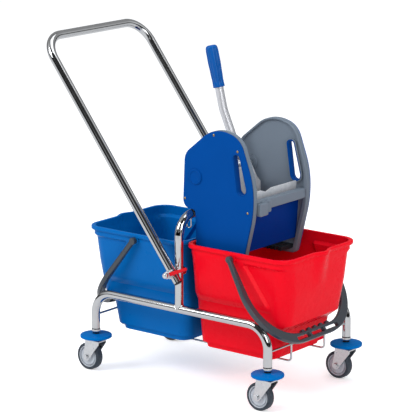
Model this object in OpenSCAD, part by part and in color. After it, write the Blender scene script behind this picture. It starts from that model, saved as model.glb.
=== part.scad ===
// Double mop bucket trolley: a chromed tube frame on four casters, two lift-out buckets with
// swinging bails, a tilting push handle and a lever wringer that hangs on the centre hoop.
// X runs along the trolley with the red bucket at +X, Y runs across it and Z is up from the floor.

/* [Frame] */
// Outside diameter of the frame and handle tube
tube_d = 25; // [23:0.5:27]
// Wall of the frame and handle tube
tube_wall = 1.5; // [1:0.1:2]
// Distance between the caster stems along the trolley
stem_span_x = 618; // [612:1:650]
// Distance between the caster stems across the trolley
stem_span_y = 376; // [374:1:400]
// Height of the side rails' axis above the ends of their legs
rail_rise = 110; // [105:1:125]
// Bend radius of the side rails at the tube's axis
rail_bend_r = 65; // [50:1:70]
// Height of the hoop bar's axis above the side rails' axis
hoop_rise = 263.5; // [262:0.5:290]
// Bend radius of the hoop at the tube's axis
hoop_bend_r = 60; // [45:1:70]
// Diameter of the end rods and the cradle wires
rod_d = 6; // [5:0.5:8]
// Drop of the end rods' axis below the side rails' axis
end_rod_drop = 70.5; // [66:0.5:80]
// Drop of the cradle wires' axis below the end rods' axis
wire_drop = 50; // [44:1:52]
// Distance between the two cradle wires
wire_span_y = 158; // [120:1:200]
// Bend radius of the cradle wires at their axis
wire_bend_r = 12; // [8:1:20]
// Wire diameter of the two stop eyes under the hoop bar
eye_wire_d = 4; // [3:0.5:5]
// Width of a stop eye between its legs' axes
eye_w = 15; // [12:1:17]
// Drop of a stop eye below the hoop bar's axis
eye_drop = 38; // [32:1:42]

/* [Casters] */
// Wheel diameter over the tyre
wheel_d = 80; // [75:1:90]
// Width of the tyre
tyre_w = 26; // [20:1:30]
// Thickness of the tyre from tread to seat
tyre_t = 10; // [7:0.5:13]
// Distance of the wheel's axle behind the swivel axis
caster_trail = 24; // [18:1:28]
// Diameter of the axle bolt
axle_d = 8; // [6:0.5:10]
// Thickness of the fork's sheet metal
fork_t = 2.5; // [2:0.1:4]
// Length of the fork's crown along the wheel
crown_len = 50; // [44:1:56]
// Gap between the tyre and the fork's crown
crown_clear = 8.5; // [7:0.5:14]
// Height of the domed swivel head on the fork's crown
swivel_head_h = 8.5; // [6:0.5:12]
// Diameter of the swivel pin
swivel_pin_d = 10; // [8:0.5:12]
// Diameter of the bumper disc
bumper_d = 92; // [84:1:100]
// Thickness of the bumper disc at its edge
bumper_edge_h = 8; // [6:0.5:9]
// Thickness of the bumper disc at its middle
bumper_h = 11; // [10:0.5:14]
// Height of the stem's lock nut
stem_nut_h = 6.5; // [5:0.5:9]
// Height of the stem's collar under the leg
stem_collar_h = 10; // [6:0.5:14]

/* [Push handle] */
// Height of the handle's pivot above the side rails' axis
pivot_rise = 108; // [100:1:115]
// Distance from the pivot to the axis of the handle's top bar
handle_len = 775; // [720:1:820]
// Lean of the handle from upright, towards the blue bucket
handle_lean = 37.5; // [34:0.5:42]
// Bend radius of the handle at the tube's axis
handle_bend_r = 70; // [50:1:90]
// Length of handle tube below the pivot
handle_tail = 30; // [26:1:45]
// Gap between the hoop's posts and the handle's legs
handle_gap = 2; // [1.5:0.1:4]
// Diameter of the clamp bolts
bolt_d = 8; // [6:0.5:10]
// Diameter of the clamp saddles
saddle_d = 26; // [22:0.5:27]
// Thickness of a clamp saddle beyond the tube it hugs
saddle_t = 3.5; // [2.5:0.1:5]
// Length of a clamp lever from the bolt's axis to its tip
clamp_lever_len = 84; // [60:1:100]
// Angle of the clamp levers above level
clamp_lever_angle = 23; // [10:1:35]
// Thickness of a clamp lever's hub along the bolt
clamp_hub_t = 14; // [10:0.5:18]
// Diameter of a clamp lever's hub
clamp_hub_d = 21; // [18:0.5:25]

/* [Buckets] */
// Height of a bucket from its foot to its rim
bucket_h = 304; // [296:1:310]
// Length of the rim along the trolley
rim_len = 354; // [348:1:360]
// Width of the rim across the trolley
rim_w = 352; // [346:1:356]
// Gap between the hoop's middle plane and a rim
rim_gap = 4; // [3:0.5:6]
// Overhang of the rolled rim
rim_lip = 6.5; // [5:0.5:8]
// Height of the rolled rim
rim_h = 12; // [9:0.5:15]
// Height of the plain band under the rim, from the rim's top
band_h = 26; // [24:1:32]
// Wall of the bucket
bucket_wall = 3; // [2.5:0.1:3.5]
// Height of the stepped foot
foot_h = 13; // [10:1:18]
// Width of the pouring spout at the rim
spout_w = 90; // [70:1:100]
// Reach of the pouring spout beyond the rim
spout_reach = 11; // [8:1:14]
// Height of the ledge under the side panels above the foot
panel_ledge_h = 164; // [150:1:175]
// Distance of the bail's pivot from the rim's inner end
bail_pivot_in = 168; // [164:1:176]
// Depth of the bail's pivot below the rim's top
bail_pivot_drop = 19; // [17:0.5:21]

/* [Bails] */
// Width of a bail's legs across the trolley
bail_leg_w = 11; // [9:0.5:12]
// Thickness of a bail
bail_t = 14; // [10:0.5:15]
// Shortfall of a bail's reach from the height of its bucket
bail_short = 15; // [8:1:20]
// Width of the ladder grip
grip_w = 38; // [34:1:42]
// Diameter of a bail's pivot pins
bail_pin_d = 10; // [8:0.5:12]
// Gap between the rim and a bail's legs
bail_gap = 2; // [1.5:0.1:3]
// Number of windows in the ladder grip
grip_windows = 5; // [3:1:6]

/* [Wringer] */
// Gap between the bucket's rim and the wringer's covers on each side
wringer_side_gap = 40; // [38:1:44]
// Thickness of the blue covers
cover_t = 5; // [4:0.5:7]
// Thickness of the grey side walls at their rims
side_wall_t = 16; // [12:0.5:18]
// Width of the rim round a side wall's recess
side_rim_w = 13; // [9:0.5:14]
// Depth of the recess inside a side wall
side_recess = 7; // [4:0.5:9]
// Half width of the hand slots through the sides
hand_slot_r = 12.5; // [10:0.5:15]
// Thickness of the collar that lines a hand slot
slot_collar_t = 3; // [2:0.5:4]
// Thickness of the blue end walls
end_wall_t = 4; // [3:0.5:5]
// Thickness of the galvanised press plates
press_t = 2; // [1.5:0.1:3]
// Diameter of the press axle
press_axle_d = 14; // [12:0.5:16]
// Diameter of the cover screws
screw_d = 5; // [4:0.5:6]
// Diameter of the lever's hub on the axle
lever_hub_d = 32; // [30:1:38]
// Width of the lever's hub along the axle
lever_hub_w = 36; // [32:1:44]
// Distance of the lever from the trolley's middle plane
lever_y = 76; // [70:1:77]
// Length of the lever's lower part from the axle to its bend
lever_low_len = 164; // [150:1:180]
// Length of the lever's upper part from its bend to the grip's top
lever_high_len = 187; // [175:1:210]
// Lean of the lever's lower part from upright
lever_low_lean = 24; // [20:0.5:26]
// Lean of the lever's upper part from upright
lever_high_lean = 14; // [11:0.5:18]
// Length of the lever's bend on each side of its corner
lever_tangent = 10; // [8:1:16]
// Wall of the lever's tube
lever_wall = 2; // [1.5:0.1:3]
// Length of the lever's grip
lever_grip_len = 122; // [110:1:130]
// Diameter of the lever's grip at its thickest
lever_grip_d = 37; // [34:0.5:40]

/* [Fits] */
// Radial clearance of a pin that turns in its bore
running_fit = 0.05; // [0.03:0.01:0.1]
// Gap at a welded or pressed joint
weld_gap = 0.05; // [0.02:0.01:0.1]
// Gap between pieces that rest on each other
seat_gap = 0.3; // [0.2:0.05:0.5]

/* [Hidden] */
$fn = 48;
CORNERS = [
  ["front_left", -1, -1],
  ["front_right", 1, -1],
  ["back_left", -1, 1],
  ["back_right", 1, 1]
];
CASTER_PIECES = ["stem", "bumper", "fork", "axle", "hub", "tyre"];

// Colours
CHROME = "#c4c8ce";
ZINC = "#b4b8bc";
BLUE = "#0b5cae";
DEEP_BLUE = "#0a4796";
RED = "#e0141f";
GREY = "#66707c";
RUBBER = "#4a525c";
DISC = "#bcc3cc";
BRASS = "#b0955a";

// Heights from the floor up through the caster to the frame
axle_z = wheel_d / 2;
crown_z = wheel_d + crown_clear;
crown_t = 3.5;
swivel_top_z = crown_z + crown_t + swivel_head_h;
bumper_z = swivel_top_z + seat_gap;
stem_nut_z = bumper_z + bumper_h;
stem_collar_z = stem_nut_z + stem_nut_h;
leg_end_z = stem_collar_z + stem_collar_h;
rail_z = leg_end_z + rail_rise;
hoop_bar_z = rail_z + hoop_rise;
end_rod_z = rail_z - end_rod_drop;
wire_z = end_rod_z - wire_drop;
pivot_z = rail_z + pivot_rise;
bore_d = tube_d - 2 * tube_wall;

// Places across the trolley
post_y = stem_span_y / 2;
handle_y = post_y + tube_d + handle_gap;
saddle_face_y = handle_y + tube_d / 2 + saddle_t;
clamp_hub_y = saddle_face_y + seat_gap;
dome_nut_y = clamp_hub_y + clamp_hub_t + seat_gap;
dome_nut_t = 9;
nut_d = 17;
post_saddle_y = post_y - tube_d / 2 - saddle_t;

// Two-dimensional helpers
// Share of a slot's half width that its corners are rounded by
slot_end_round = 0.98;
function unit(v) = v / norm(v);
function flat(p) = [p[0], p[1]];
function left_normal(a, b) = let (d = unit(b - a)) [-d[1], d[0]];
function turn(a) = a > 180 ? a - 360 : a < -180 ? a + 360 : a;

// Arc points of one rounded corner between its two neighbours
function corner_arc(before, corner, after, r, steps) =
  let (
    a = unit(before - corner),
    b = unit(after - corner),
    half = acos(a * b) / 2,
    middle = corner + unit(a + b) * r / sin(half),
    start = corner + a * r / tan(half) - middle,
    end = corner + b * r / tan(half) - middle,
    from = atan2(start[1], start[0]),
    sweep = turn(atan2(end[1], end[0]) - from)
  ) [for (k = [0:steps]) middle + r * [cos(from + sweep * k / steps), sin(from + sweep * k / steps)]];

// Outline of [x, y, fillet radius] corners, as arcs
function rounded(p, steps = 8) =
  let (n = len(p))
  [for (i = [0:n - 1])
    each p[i][2] == 0 ? [flat(p[i])] :
      corner_arc(flat(p[(i + n - 1) % n]), flat(p[i]), flat(p[(i + 1) % n]), p[i][2], steps)];

// The same corners moved inwards by d, for an outline that runs anticlockwise
function inset(p, d) =
  let (n = len(p))
  [for (i = [0:n - 1])
    let (
      v = flat(p[i]),
      before = left_normal(flat(p[(i + n - 1) % n]), v),
      after = left_normal(v, flat(p[(i + 1) % n])),
      moved = v + (before + after) * d / (1 + before * after),
      r = p[i][2] + (cross(before, after) > 0 ? -d : d)
    ) [moved[0], moved[1], max(r, 1)]];

// Slot with round ends about the line from a to b
module slot_2d(a, b, r) {
  along = unit(b - a) * r;
  across = [-along[1], along[0]];
  corners = [a - along - across, b + along - across, b + along + across, a - along + across];
  polygon(rounded([for (c = corners) [c[0], c[1], slot_end_round * r]], 7));
}

// Rectangle with round corners, centred
module rounded_rect(w, h, r) {
  square([w - 2 * r, h], center = true);
  square([w, h - 2 * r], center = true);
  for (x = [-1, 1], y = [-1, 1]) translate([x * (w / 2 - r), y * (h / 2 - r)]) circle(r);
}

// Plate in the XZ plane that grows from y = 0 towards -Y
module upright_plate(t) {
  rotate([90, 0, 0]) linear_extrude(t) children();
}

// Cylinder along Y from y0 to y1
module y_cylinder(d, y0, y1) {
  translate([0, min(y0, y1), 0]) rotate([-90, 0, 0]) cylinder(d = d, h = abs(y1 - y0));
}

// Inverted U of round bar or tube in the XZ plane, with the top bar's axis at z = 0
module u_bar(span, leg, bend_r, d) {
  rotate([0, 90, 0]) cylinder(d = d, h = span - 2 * bend_r, center = true);
  for (m = [0, 1]) mirror([m, 0, 0]) {
    translate([span / 2 - bend_r, 0, -bend_r])
      rotate([90, 0, 0]) rotate_extrude(angle = 90) translate([bend_r, 0]) circle(d = d);
    translate([span / 2, 0, -bend_r - leg]) cylinder(d = d, h = leg);
  }
}

module u_tube(span, leg, bend_r) {
  difference() {
    u_bar(span, leg, bend_r, tube_d);
    u_bar(span, leg + 1, bend_r, bore_d);
  }
}

module both_sides() {
  for (m = [0, 1]) mirror([0, m, 0]) children();
}

// Frame
module side_rail(side) {
  color(CHROME)
    translate([0, side * post_y, rail_z])
      u_tube(stem_span_x, rail_rise - rail_bend_r, rail_bend_r);
}

// Wire eye that keeps the wringer from sliding along the hoop bar
module stop_eye() {
  translate([0, -eye_y, hoop_bar_z - eye_drop])
    rotate([180, 0, 0]) u_bar(eye_w, eye_drop - eye_w / 2, eye_w / 2, eye_wire_d);
}

module centre_hoop() {
  color(CHROME) {
    difference() {
      translate([0, 0, hoop_bar_z])
        rotate([0, 0, 90]) u_tube(stem_span_y, hoop_rise - hoop_bend_r, hoop_bend_r);
      for (s = [-1, 1]) translate([0, s * post_y, rail_z])
        rotate([0, 90, 0]) cylinder(d = tube_d + 2 * weld_gap, h = 3 * tube_d, center = true);
      translate([0, 0, pivot_z]) y_cylinder(bolt_d + 2 * running_fit, -stem_span_y, stem_span_y);
    }
    both_sides() difference() {
      stop_eye();
      translate([0, 0, hoop_bar_z])
        rotate([90, 0, 0]) cylinder(d = bore_d + tube_wall, h = stem_span_y, center = true);
    }
  }
}

module end_rod(end) {
  color(CHROME)
    translate([end * stem_span_x / 2, 0, 0]) difference() {
      translate([0, 0, end_rod_z]) y_cylinder(rod_d, -post_y, post_y);
      for (s = [-1, 1]) translate([0, s * post_y, leg_end_z])
        cylinder(d = tube_d + 2 * weld_gap, h = rail_rise);
    }
}

module cradle_wire(side) {
  color(CHROME)
    difference() {
      translate([0, side * wire_span_y / 2, wire_z])
        rotate([180, 0, 0]) u_bar(stem_span_x, wire_drop - wire_bend_r, wire_bend_r, rod_d);
      for (s = [-1, 1]) translate([s * stem_span_x / 2, 0, end_rod_z])
        y_cylinder(rod_d + 2 * weld_gap, -post_y, post_y);
    }
}

// Casters
module at_corner(c) {
  translate([c[1] * stem_span_x / 2, c[2] * post_y, 0]) children();
}

module at_wheel(c) {
  at_corner(c) translate([-caster_trail, 0, axle_z]) children();
}

stem_plug_h = 32;
rivet_h = 3.5;
rivet_d = swivel_pin_d + 7;
module caster_stem(c) {
  color(ZINC) at_corner(c) {
    translate([0, 0, leg_end_z]) cylinder(d = bore_d - 2 * weld_gap, h = stem_plug_h);
    translate([0, 0, stem_collar_z]) cylinder(d = tube_d - 1, h = stem_collar_h);
    translate([0, 0, stem_nut_z]) cylinder(d = nut_d + 3, h = stem_nut_h, $fn = 6);
    translate([0, 0, crown_z - seat_gap])
      cylinder(d = swivel_pin_d, h = leg_end_z - crown_z + seat_gap);
    translate([0, 0, crown_z - seat_gap - rivet_h]) cylinder(d = rivet_d, h = rivet_h);
  }
}

bumper_edge_r = 2.5;
module caster_bumper(c) {
  r = bumper_d / 2;
  color(BLUE) at_corner(c) translate([0, 0, bumper_z]) rotate_extrude()
    polygon(rounded([
      [swivel_pin_d / 2 + weld_gap, 0, 0.2],
      [r, 0, bumper_edge_r],
      [r, bumper_edge_h, bumper_edge_r],
      [r * 0.55, bumper_h, 12],
      [swivel_pin_d / 2 + weld_gap, bumper_h, 0.2]
    ], 4));
}

cheek_gap = tyre_w / 2 + 2;
axle_boss_r = 12;
// Middle of the crown along the wheel, from the swivel axis
crown_mid = -2;
module fork_cheek_2d() {
  front = crown_mid + crown_len / 2;
  rear = crown_mid - crown_len / 2;
  top = crown_z + crown_t;
  difference() {
    union() {
      polygon(rounded([
        [rear, top, 0.5],
        [rear - 2, crown_z - 16, 14],
        [-caster_trail - axle_boss_r, axle_z, 3],
        [-caster_trail + axle_boss_r - 1, axle_z - 5, 3],
        [front, crown_z - 5, 5],
        [front, top, 0.5]
      ], 4));
      translate([-caster_trail, axle_z]) circle(axle_boss_r);
    }
    translate([-caster_trail, axle_z]) circle(d = axle_d + 2 * weld_gap);
  }
}

module caster_fork(c) {
  width = 2 * (cheek_gap + fork_t);
  color(ZINC) at_corner(c) difference() {
    union() {
      for (y = [-cheek_gap, cheek_gap + fork_t])
        translate([0, y, 0]) upright_plate(fork_t) fork_cheek_2d();
      translate([crown_mid, 0, crown_z + crown_t / 2]) cube([crown_len, width, crown_t], center = true);
      translate([0, 0, crown_z + crown_t])
        cylinder(d1 = width + 2, d2 = width - 8, h = swivel_head_h);
    }
    translate([0, 0, crown_z - 1])
      cylinder(d = swivel_pin_d + 2 * running_fit, h = crown_t + swivel_head_h + 2);
  }
}

axle_head_t = 5;
module caster_axle(c) {
  end = cheek_gap + fork_t;
  color(ZINC) at_wheel(c) {
    y_cylinder(axle_d, -end - axle_head_t, end + axle_head_t);
    both_sides() translate([0, -end - axle_head_t, 0])
      rotate([-90, 0, 0]) cylinder(d = axle_d * 1.8, h = axle_head_t, $fn = 6);
  }
}

hub_r = wheel_d / 2 - tyre_t - weld_gap;
hub_boss_r = 11;
hub_face = tyre_w / 2 - 2;
// Half section of the wheel's disc, as [radius, offset from the middle]
function hub_half() = [
  [axle_d / 2 + running_fit, cheek_gap - 0.5],
  [hub_boss_r, cheek_gap - 0.5],
  [hub_boss_r + 1.5, hub_face - 2],
  [hub_r - 5, hub_face - 0.5],
  [hub_r - 4.5, hub_face - 4],
  [hub_r - 2.5, hub_face - 4],
  [hub_r - 2, hub_face],
  [hub_r, hub_face]
];

module caster_hub(c) {
  half = hub_half();
  n = len(half);
  color(DISC) at_wheel(c) rotate([90, 0, 0]) rotate_extrude()
    polygon(concat(half, [for (i = [n - 1:-1:0]) [half[i][0], -half[i][1]]]));
}

tread_round = 4;
module caster_tyre(c) {
  r = wheel_d / 2;
  color(RUBBER) at_wheel(c) rotate([90, 0, 0]) rotate_extrude()
    polygon(rounded([
      [r - tyre_t, -hub_face, 0.5],
      [r - tyre_t + 2, -tyre_w / 2, 1.5],
      [r, -tyre_w / 2, tread_round],
      [r, tyre_w / 2, tread_round],
      [r - tyre_t + 2, tyre_w / 2, 1.5],
      [r - tyre_t, hub_face, 0.5]
    ], 4));
}

// Push handle
module at_handle() {
  translate([0, 0, pivot_z]) rotate([0, -handle_lean, 0]) children();
}

module push_handle() {
  color(CHROME) at_handle() difference() {
    translate([0, 0, handle_len]) rotate([0, 0, 90])
      u_tube(2 * handle_y, handle_len - handle_bend_r + handle_tail, handle_bend_r);
    y_cylinder(bolt_d + 2 * running_fit, -2 * handle_y, 2 * handle_y);
  }
}

end_plug_h = 12;
end_plug_rim = 2.5;
module handle_end_plugs() {
  color(ZINC) at_handle() both_sides() translate([0, -handle_y, -handle_tail]) {
    cylinder(d = bore_d - 2 * weld_gap, h = end_plug_h);
    translate([0, 0, -end_plug_rim]) cylinder(d1 = tube_d - 4, d2 = tube_d, h = end_plug_rim);
  }
}

inner_nut_t = 6.5;
module clamp_bolts() {
  color(ZINC) translate([0, 0, pivot_z]) both_sides() {
    y_cylinder(bolt_d, -dome_nut_y - 1, -post_saddle_y);
    translate([0, -post_saddle_y, 0])
      rotate([-90, 0, 0]) cylinder(d = nut_d, h = inner_nut_t, $fn = 6);
    translate([0, -dome_nut_y, 0]) rotate([90, 0, 0]) rotate_extrude()
      polygon(rounded([[0, 0, 0], [nut_d / 2, 0, 0.5], [nut_d / 2, dome_nut_t, 5], [0, dome_nut_t, 0]], 5));
  }
}

// Round saddle that hugs a tube along Z at y = -tube_y on one side
module saddle(tube_y, face_y) {
  difference() {
    y_cylinder(saddle_d, -face_y, -tube_y);
    translate([0, -tube_y, 0])
      cylinder(d = tube_d + 2 * weld_gap, h = 2 * saddle_d, center = true);
    y_cylinder(bolt_d + 2 * running_fit, -2 * tube_y, 0);
  }
}

module post_saddles() {
  color(ZINC) translate([0, 0, pivot_z]) both_sides() saddle(post_y, post_saddle_y);
}

module handle_saddles() {
  color(ZINC) at_handle() both_sides() saddle(handle_y, saddle_face_y);
}

clamp_arm_t = 9;
clamp_tip_r = 6.5;
// Red clamp lever at the front, with a round hub and an arm that widens to its tip
module clamp_lever() {
  tip = clamp_lever_len - clamp_tip_r;
  color(RED) translate([0, -clamp_hub_y, pivot_z]) rotate([0, -clamp_lever_angle, 0]) difference() {
    union() {
      y_cylinder(clamp_hub_d, -clamp_hub_t, 0);
      translate([0, -(clamp_hub_t - clamp_arm_t) / 2, 0]) upright_plate(clamp_arm_t) {
        polygon([[0, -7], [tip, -clamp_tip_r], [tip, clamp_tip_r], [0, 7]]);
        translate([tip, 0]) circle(clamp_tip_r);
      }
    }
    y_cylinder(bolt_d + 2 * running_fit, -2 * clamp_hub_t, clamp_hub_t);
  }
}

// Buckets, drawn for the red end: x grows from the rim's inner end to the spout
foot_z = wire_z + rod_d / 2 + seat_gap;
rim_z = foot_z + bucket_h;
bail_pivot_x = rim_gap + bail_pivot_in;
bail_pivot_z = rim_z - bail_pivot_drop;
// Setbacks of the walls from the rim's edges, as [inner end, outer end, sides]
set_foot = [30, 88, 57];
set_foot_top = [28, 86, 55];
set_shoulder = [16.5, 70, 48.5];
set_below_ledge = [14, 62, 42];
set_above_ledge = [12, 45, 36];
set_wall_top = [8, 9, 16];
end_ledge_h = 82;
end_ledge_slope = 25;
corner_in_r = 38;
corner_out_r = 50;
corner_foot_r = 26;
bucket_arc_steps = 5;

// One level of a bucket's skin: height above the foot, setbacks, corner radii and spout reach
function level(h, set, r_in, r_out, spout = 0) = [h, set, r_in, r_out, spout];

// Levels of the skin that lies o inside the outer face, up to the given top
function skin(o, top) = let (lip = [rim_lip, rim_lip, rim_lip]) [
  level(o, set_foot, corner_foot_r, corner_foot_r),
  level(foot_h + o, set_foot_top, corner_foot_r, corner_foot_r),
  level(foot_h + 2 + o, set_shoulder, corner_in_r - 8, corner_foot_r + 6),
  level(end_ledge_h, set_below_ledge, corner_in_r - 6, corner_out_r - 14),
  level(end_ledge_h + end_ledge_slope, set_above_ledge, corner_in_r - 5, corner_out_r - 6),
  level(bucket_h - band_h - 80, (set_above_ledge + set_wall_top) / 2 - [0, 5, 0], corner_in_r, corner_out_r),
  level(bucket_h - band_h - 8 + o, set_wall_top, corner_in_r, corner_out_r, spout_reach - 2),
  level(bucket_h - band_h + o, lip, corner_in_r, corner_out_r, spout_reach - 1),
  level(top, lip, corner_in_r, corner_out_r, spout_reach)
];

// Ring of points of one level, moved o inwards
function ring(lv, o) =
  let (
    z = foot_z + lv[0],
    x0 = rim_gap + lv[1][0] + o,
    x1 = rim_gap + rim_len - lv[1][1] - o,
    y1 = rim_w / 2 - lv[1][2] - o,
    r_in = lv[2] - o,
    r_out = lv[3] - o
  )
  concat(
    arc_points([x1 - r_out, -y1 + r_out], r_out, -90, z),
    [[x1, -spout_w / 2, z], [x1 + lv[4], 0, z], [x1, spout_w / 2, z]],
    arc_points([x1 - r_out, y1 - r_out], r_out, 0, z),
    arc_points([x0 + r_in, y1 - r_in], r_in, 90, z),
    arc_points([x0 + r_in, -y1 + r_in], r_in, 180, z)
  );

function arc_points(m, r, from, z) =
  [for (k = [0:bucket_arc_steps])
    let (a = from + 90 * k / bucket_arc_steps) [m[0] + r * cos(a), m[1] + r * sin(a), z]];

// Closed loft through rings of equal count
module loft(rings) {
  n = len(rings[0]);
  last = len(rings) - 1;
  polyhedron(
    points = [for (r = rings) each r],
    faces = concat(
      [[for (i = [0:n - 1]) i], [for (i = [n - 1:-1:0]) last * n + i]],
      [for (j = [0:last - 1]) for (i = [0:n - 1])
        let (a = j * n + i, b = j * n + (i + 1) % n)
        each [[a, a + n, b + n], [a, b + n, b]]]
    )
  );
}

// Rolled rim round the bucket's mouth
module rolled_rim() {
  round = 2;
  edge = [round, round, round];
  loft([for (lv = [
    level(bucket_h - rim_h, edge, corner_in_r, corner_out_r, spout_reach),
    level(bucket_h - rim_h + round, [0, 0, 0], corner_in_r, corner_out_r, spout_reach),
    level(bucket_h - round, [0, 0, 0], corner_in_r, corner_out_r, spout_reach),
    level(bucket_h, edge, corner_in_r, corner_out_r, spout_reach)
  ]) ring(lv, 0)]);
}

// One level of the raised side panels, from the inner end's corners to the slanting outer edge
module panel_level(h, x0, x1, half_w, o) {
  r = panel_corner_r - o;
  translate([0, 0, foot_z + h]) {
    for (s = [-1, 1]) translate([rim_gap + x0 + o + r, s * (half_w - o - r), 0])
      cylinder(r = r, h = 0.5, $fn = 32);
    translate([x1 - o - panel_bevel, -half_w + o, 0]) cube([0.5, 2 * (half_w - o), 0.5]);
    translate([x1 - o, -half_w + o + panel_bevel, 0]) cube([0.5, 2 * (half_w - o - panel_bevel), 0.5]);
  }
}

panel_corner_r = 30;
panel_bevel = 7;
panel_ledge_slope = 20;
panel_top_x = rim_gap + 0.576 * rim_len;
panel_low_x = rim_gap + 0.79 * rim_len;
panel_top_w = rim_w / 2 - rim_lip - 0.2;
panel_low_w = rim_w / 2 - 18.5;
module side_panels(o) {
  hull() {
    panel_level(bucket_h - band_h + 2, 10, panel_top_x, panel_top_w, o);
    panel_level(panel_ledge_h + o, 11.5, panel_low_x, panel_low_w, o);
    panel_level(panel_ledge_h - panel_ledge_slope + o, 12.5, panel_low_x + 8, panel_low_w - 10, o);
  }
}

lug_d = 24;
module bucket() {
  difference() {
    union() {
      loft([for (lv = skin(0, bucket_h)) ring(lv, 0)]);
      rolled_rim();
      side_panels(0);
      translate([bail_pivot_x, 0, bail_pivot_z]) both_sides()
        y_cylinder(lug_d, -rim_w / 2 + 0.5, -rim_w / 2 + rim_lip + bucket_wall);
    }
    loft([for (lv = skin(bucket_wall, bucket_h + 1)) ring(lv, bucket_wall)]);
    side_panels(bucket_wall);
    translate([bail_pivot_x, 0, bail_pivot_z])
      y_cylinder(bail_pin_d + 2 * running_fit, -rim_w, rim_w);
  }
}

module red_bucket() {
  color(RED) bucket();
}

module blue_bucket() {
  color(BLUE) rotate([0, 0, 180]) bucket();
}

// Bails, which lie on the bends of the side rails
bail_reach = bucket_h - bail_short;
bail_inner_w = rim_w / 2 + bail_gap;
bail_outer_w = bail_inner_w + bail_leg_w;
bend_dx = stem_span_x / 2 - rail_bend_r - bail_pivot_x;
bend_dz = bail_pivot_z - rail_z + rail_bend_r;
bail_rest = rail_bend_r + tube_d / 2 + bail_t / 2 + seat_gap;
bail_lean = atan2(bend_dx, bend_dz) + asin(bail_rest / norm([bend_dx, bend_dz]));
bail_outer_r = 110;
bail_throat_r = 75;
window_w = 20;
window_h = 12;
window_pitch = 31;
outer_bar_w = 11;
finger_r = 13;
finger_depth = 4;

module bail_2d() {
  throat = bail_reach - grip_w;
  window_x = bail_reach - outer_bar_w - window_h / 2;
  difference() {
    polygon(rounded([
      [0, -bail_outer_w, 0],
      [bail_reach, -bail_outer_w, bail_outer_r],
      [bail_reach, bail_outer_w, bail_outer_r],
      [0, bail_outer_w, 0]
    ], 12));
    polygon(rounded([
      [-1, -bail_inner_w, 0],
      [throat, -bail_inner_w, bail_throat_r],
      [throat, bail_inner_w, bail_throat_r],
      [-1, bail_inner_w, 0]
    ], 12));
    for (k = [0:grip_windows - 1]) {
      y = (k - (grip_windows - 1) / 2) * window_pitch;
      translate([window_x, y]) rounded_rect(window_h, window_w, 3);
      translate([throat + finger_depth - finger_r, y]) circle(finger_r);
    }
  }
}

module bail() {
  eye_d = bail_t + 6;
  translate([bail_pivot_x, 0, bail_pivot_z]) rotate([0, 90 - bail_lean, 0]) {
    linear_extrude(bail_t, center = true) bail_2d();
    both_sides() {
      y_cylinder(eye_d, -bail_outer_w, -bail_inner_w);
      y_cylinder(bail_pin_d, -bail_inner_w - 1, -rim_w / 2 + rim_lip + bucket_wall / 2);
    }
  }
}

module red_bail() {
  color(GREY) bail();
}

module blue_bail() {
  color(GREY) rotate([0, 0, 180]) bail();
}

// Wringer, drawn about the hoop bar's axis
notch_z = tube_d / 2 + seat_gap;
wringer_w = rim_w - 2 * wringer_side_gap;
cover_y = wringer_w / 2 - cover_t;
inner_y = cover_y - side_wall_t;
web_y = inner_y + side_recess;
side_foot_z = -136;
// Outline of the sides as [x, z, fillet radius], anticlockwise, with the notch over the hoop bar last
side_outline = [
  [19.5, side_foot_z, 12],
  [178, side_foot_z, 14],
  [217, 23, 300],
  [218, 108, 250],
  [172, 233, 64],
  [84, 258, 100],
  [-22, 166, 34],
  [-29, notch_z, 26],
  [tube_d / 2 + 3, notch_z, 10]
];
slot_top = [157, 174];
slot_low = [180, 104];
axle_at = [18, 108];
screws_at = [[82, 233], [163, 207], [-14.5, 41.6], [199, 29.6]];
bush_d = 26;
bush_flange_d = 42;
bush_flange_t = 6;
cover_inset = 1;
cover_boss_d = 50;
cover_boss_t = 3;
screw_boss_r = 7;
eye_y = wringer_w / 2 + cover_boss_t + eye_wire_d;

module at_hoop() {
  translate([0, 0, hoop_bar_z]) children();
}

module at_screws() {
  for (p = screws_at) translate(p) children();
}

// Grey side wall at the front: a rim and a web that faces outwards
module side_wall() {
  at_hoop() translate([0, -inner_y, 0]) difference() {
    upright_plate(side_wall_t) difference() {
      polygon(rounded(side_outline));
      slot_2d(slot_top, slot_low, hand_slot_r + slot_collar_t + weld_gap);
      translate(axle_at) circle(d = bush_d + 2 * weld_gap);
      at_screws() circle(d = screw_d + 2 * weld_gap);
    }
    translate([0, 1, 0]) upright_plate(side_recess + 1) difference() {
      polygon(rounded(inset(side_outline, side_rim_w)));
      slot_2d(slot_top, slot_low, hand_slot_r + 2 * slot_collar_t);
      at_screws() circle(screw_boss_r);
    }
  }
}

// Blue cover at the front, with the collar that lines the hand slot and a boss over the axle
module cover() {
  at_hoop() translate([0, -cover_y, 0]) difference() {
    union() {
      upright_plate(cover_t) polygon(rounded(inset(side_outline, cover_inset)));
      translate([0, side_wall_t, 0]) upright_plate(side_wall_t + cover_t / 2)
        slot_2d(slot_top, slot_low, hand_slot_r + slot_collar_t);
      translate([axle_at[0], -cover_t / 2, axle_at[1]]) rotate([90, 0, 0])
        cylinder(d = cover_boss_d, h = cover_t / 2 + cover_boss_t);
    }
    translate([0, 2 * side_wall_t, 0]) upright_plate(4 * side_wall_t) {
      slot_2d(slot_top, slot_low, hand_slot_r);
      at_screws() circle(d = screw_d + 2 * weld_gap);
    }
  }
}

module front_side_wall() {
  color(GREY) side_wall();
}

module back_side_wall() {
  color(GREY) mirror([0, 1, 0]) side_wall();
}

module front_cover() {
  color(DEEP_BLUE) cover();
}

module back_cover() {
  color(DEEP_BLUE) mirror([0, 1, 0]) cover();
}

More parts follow.
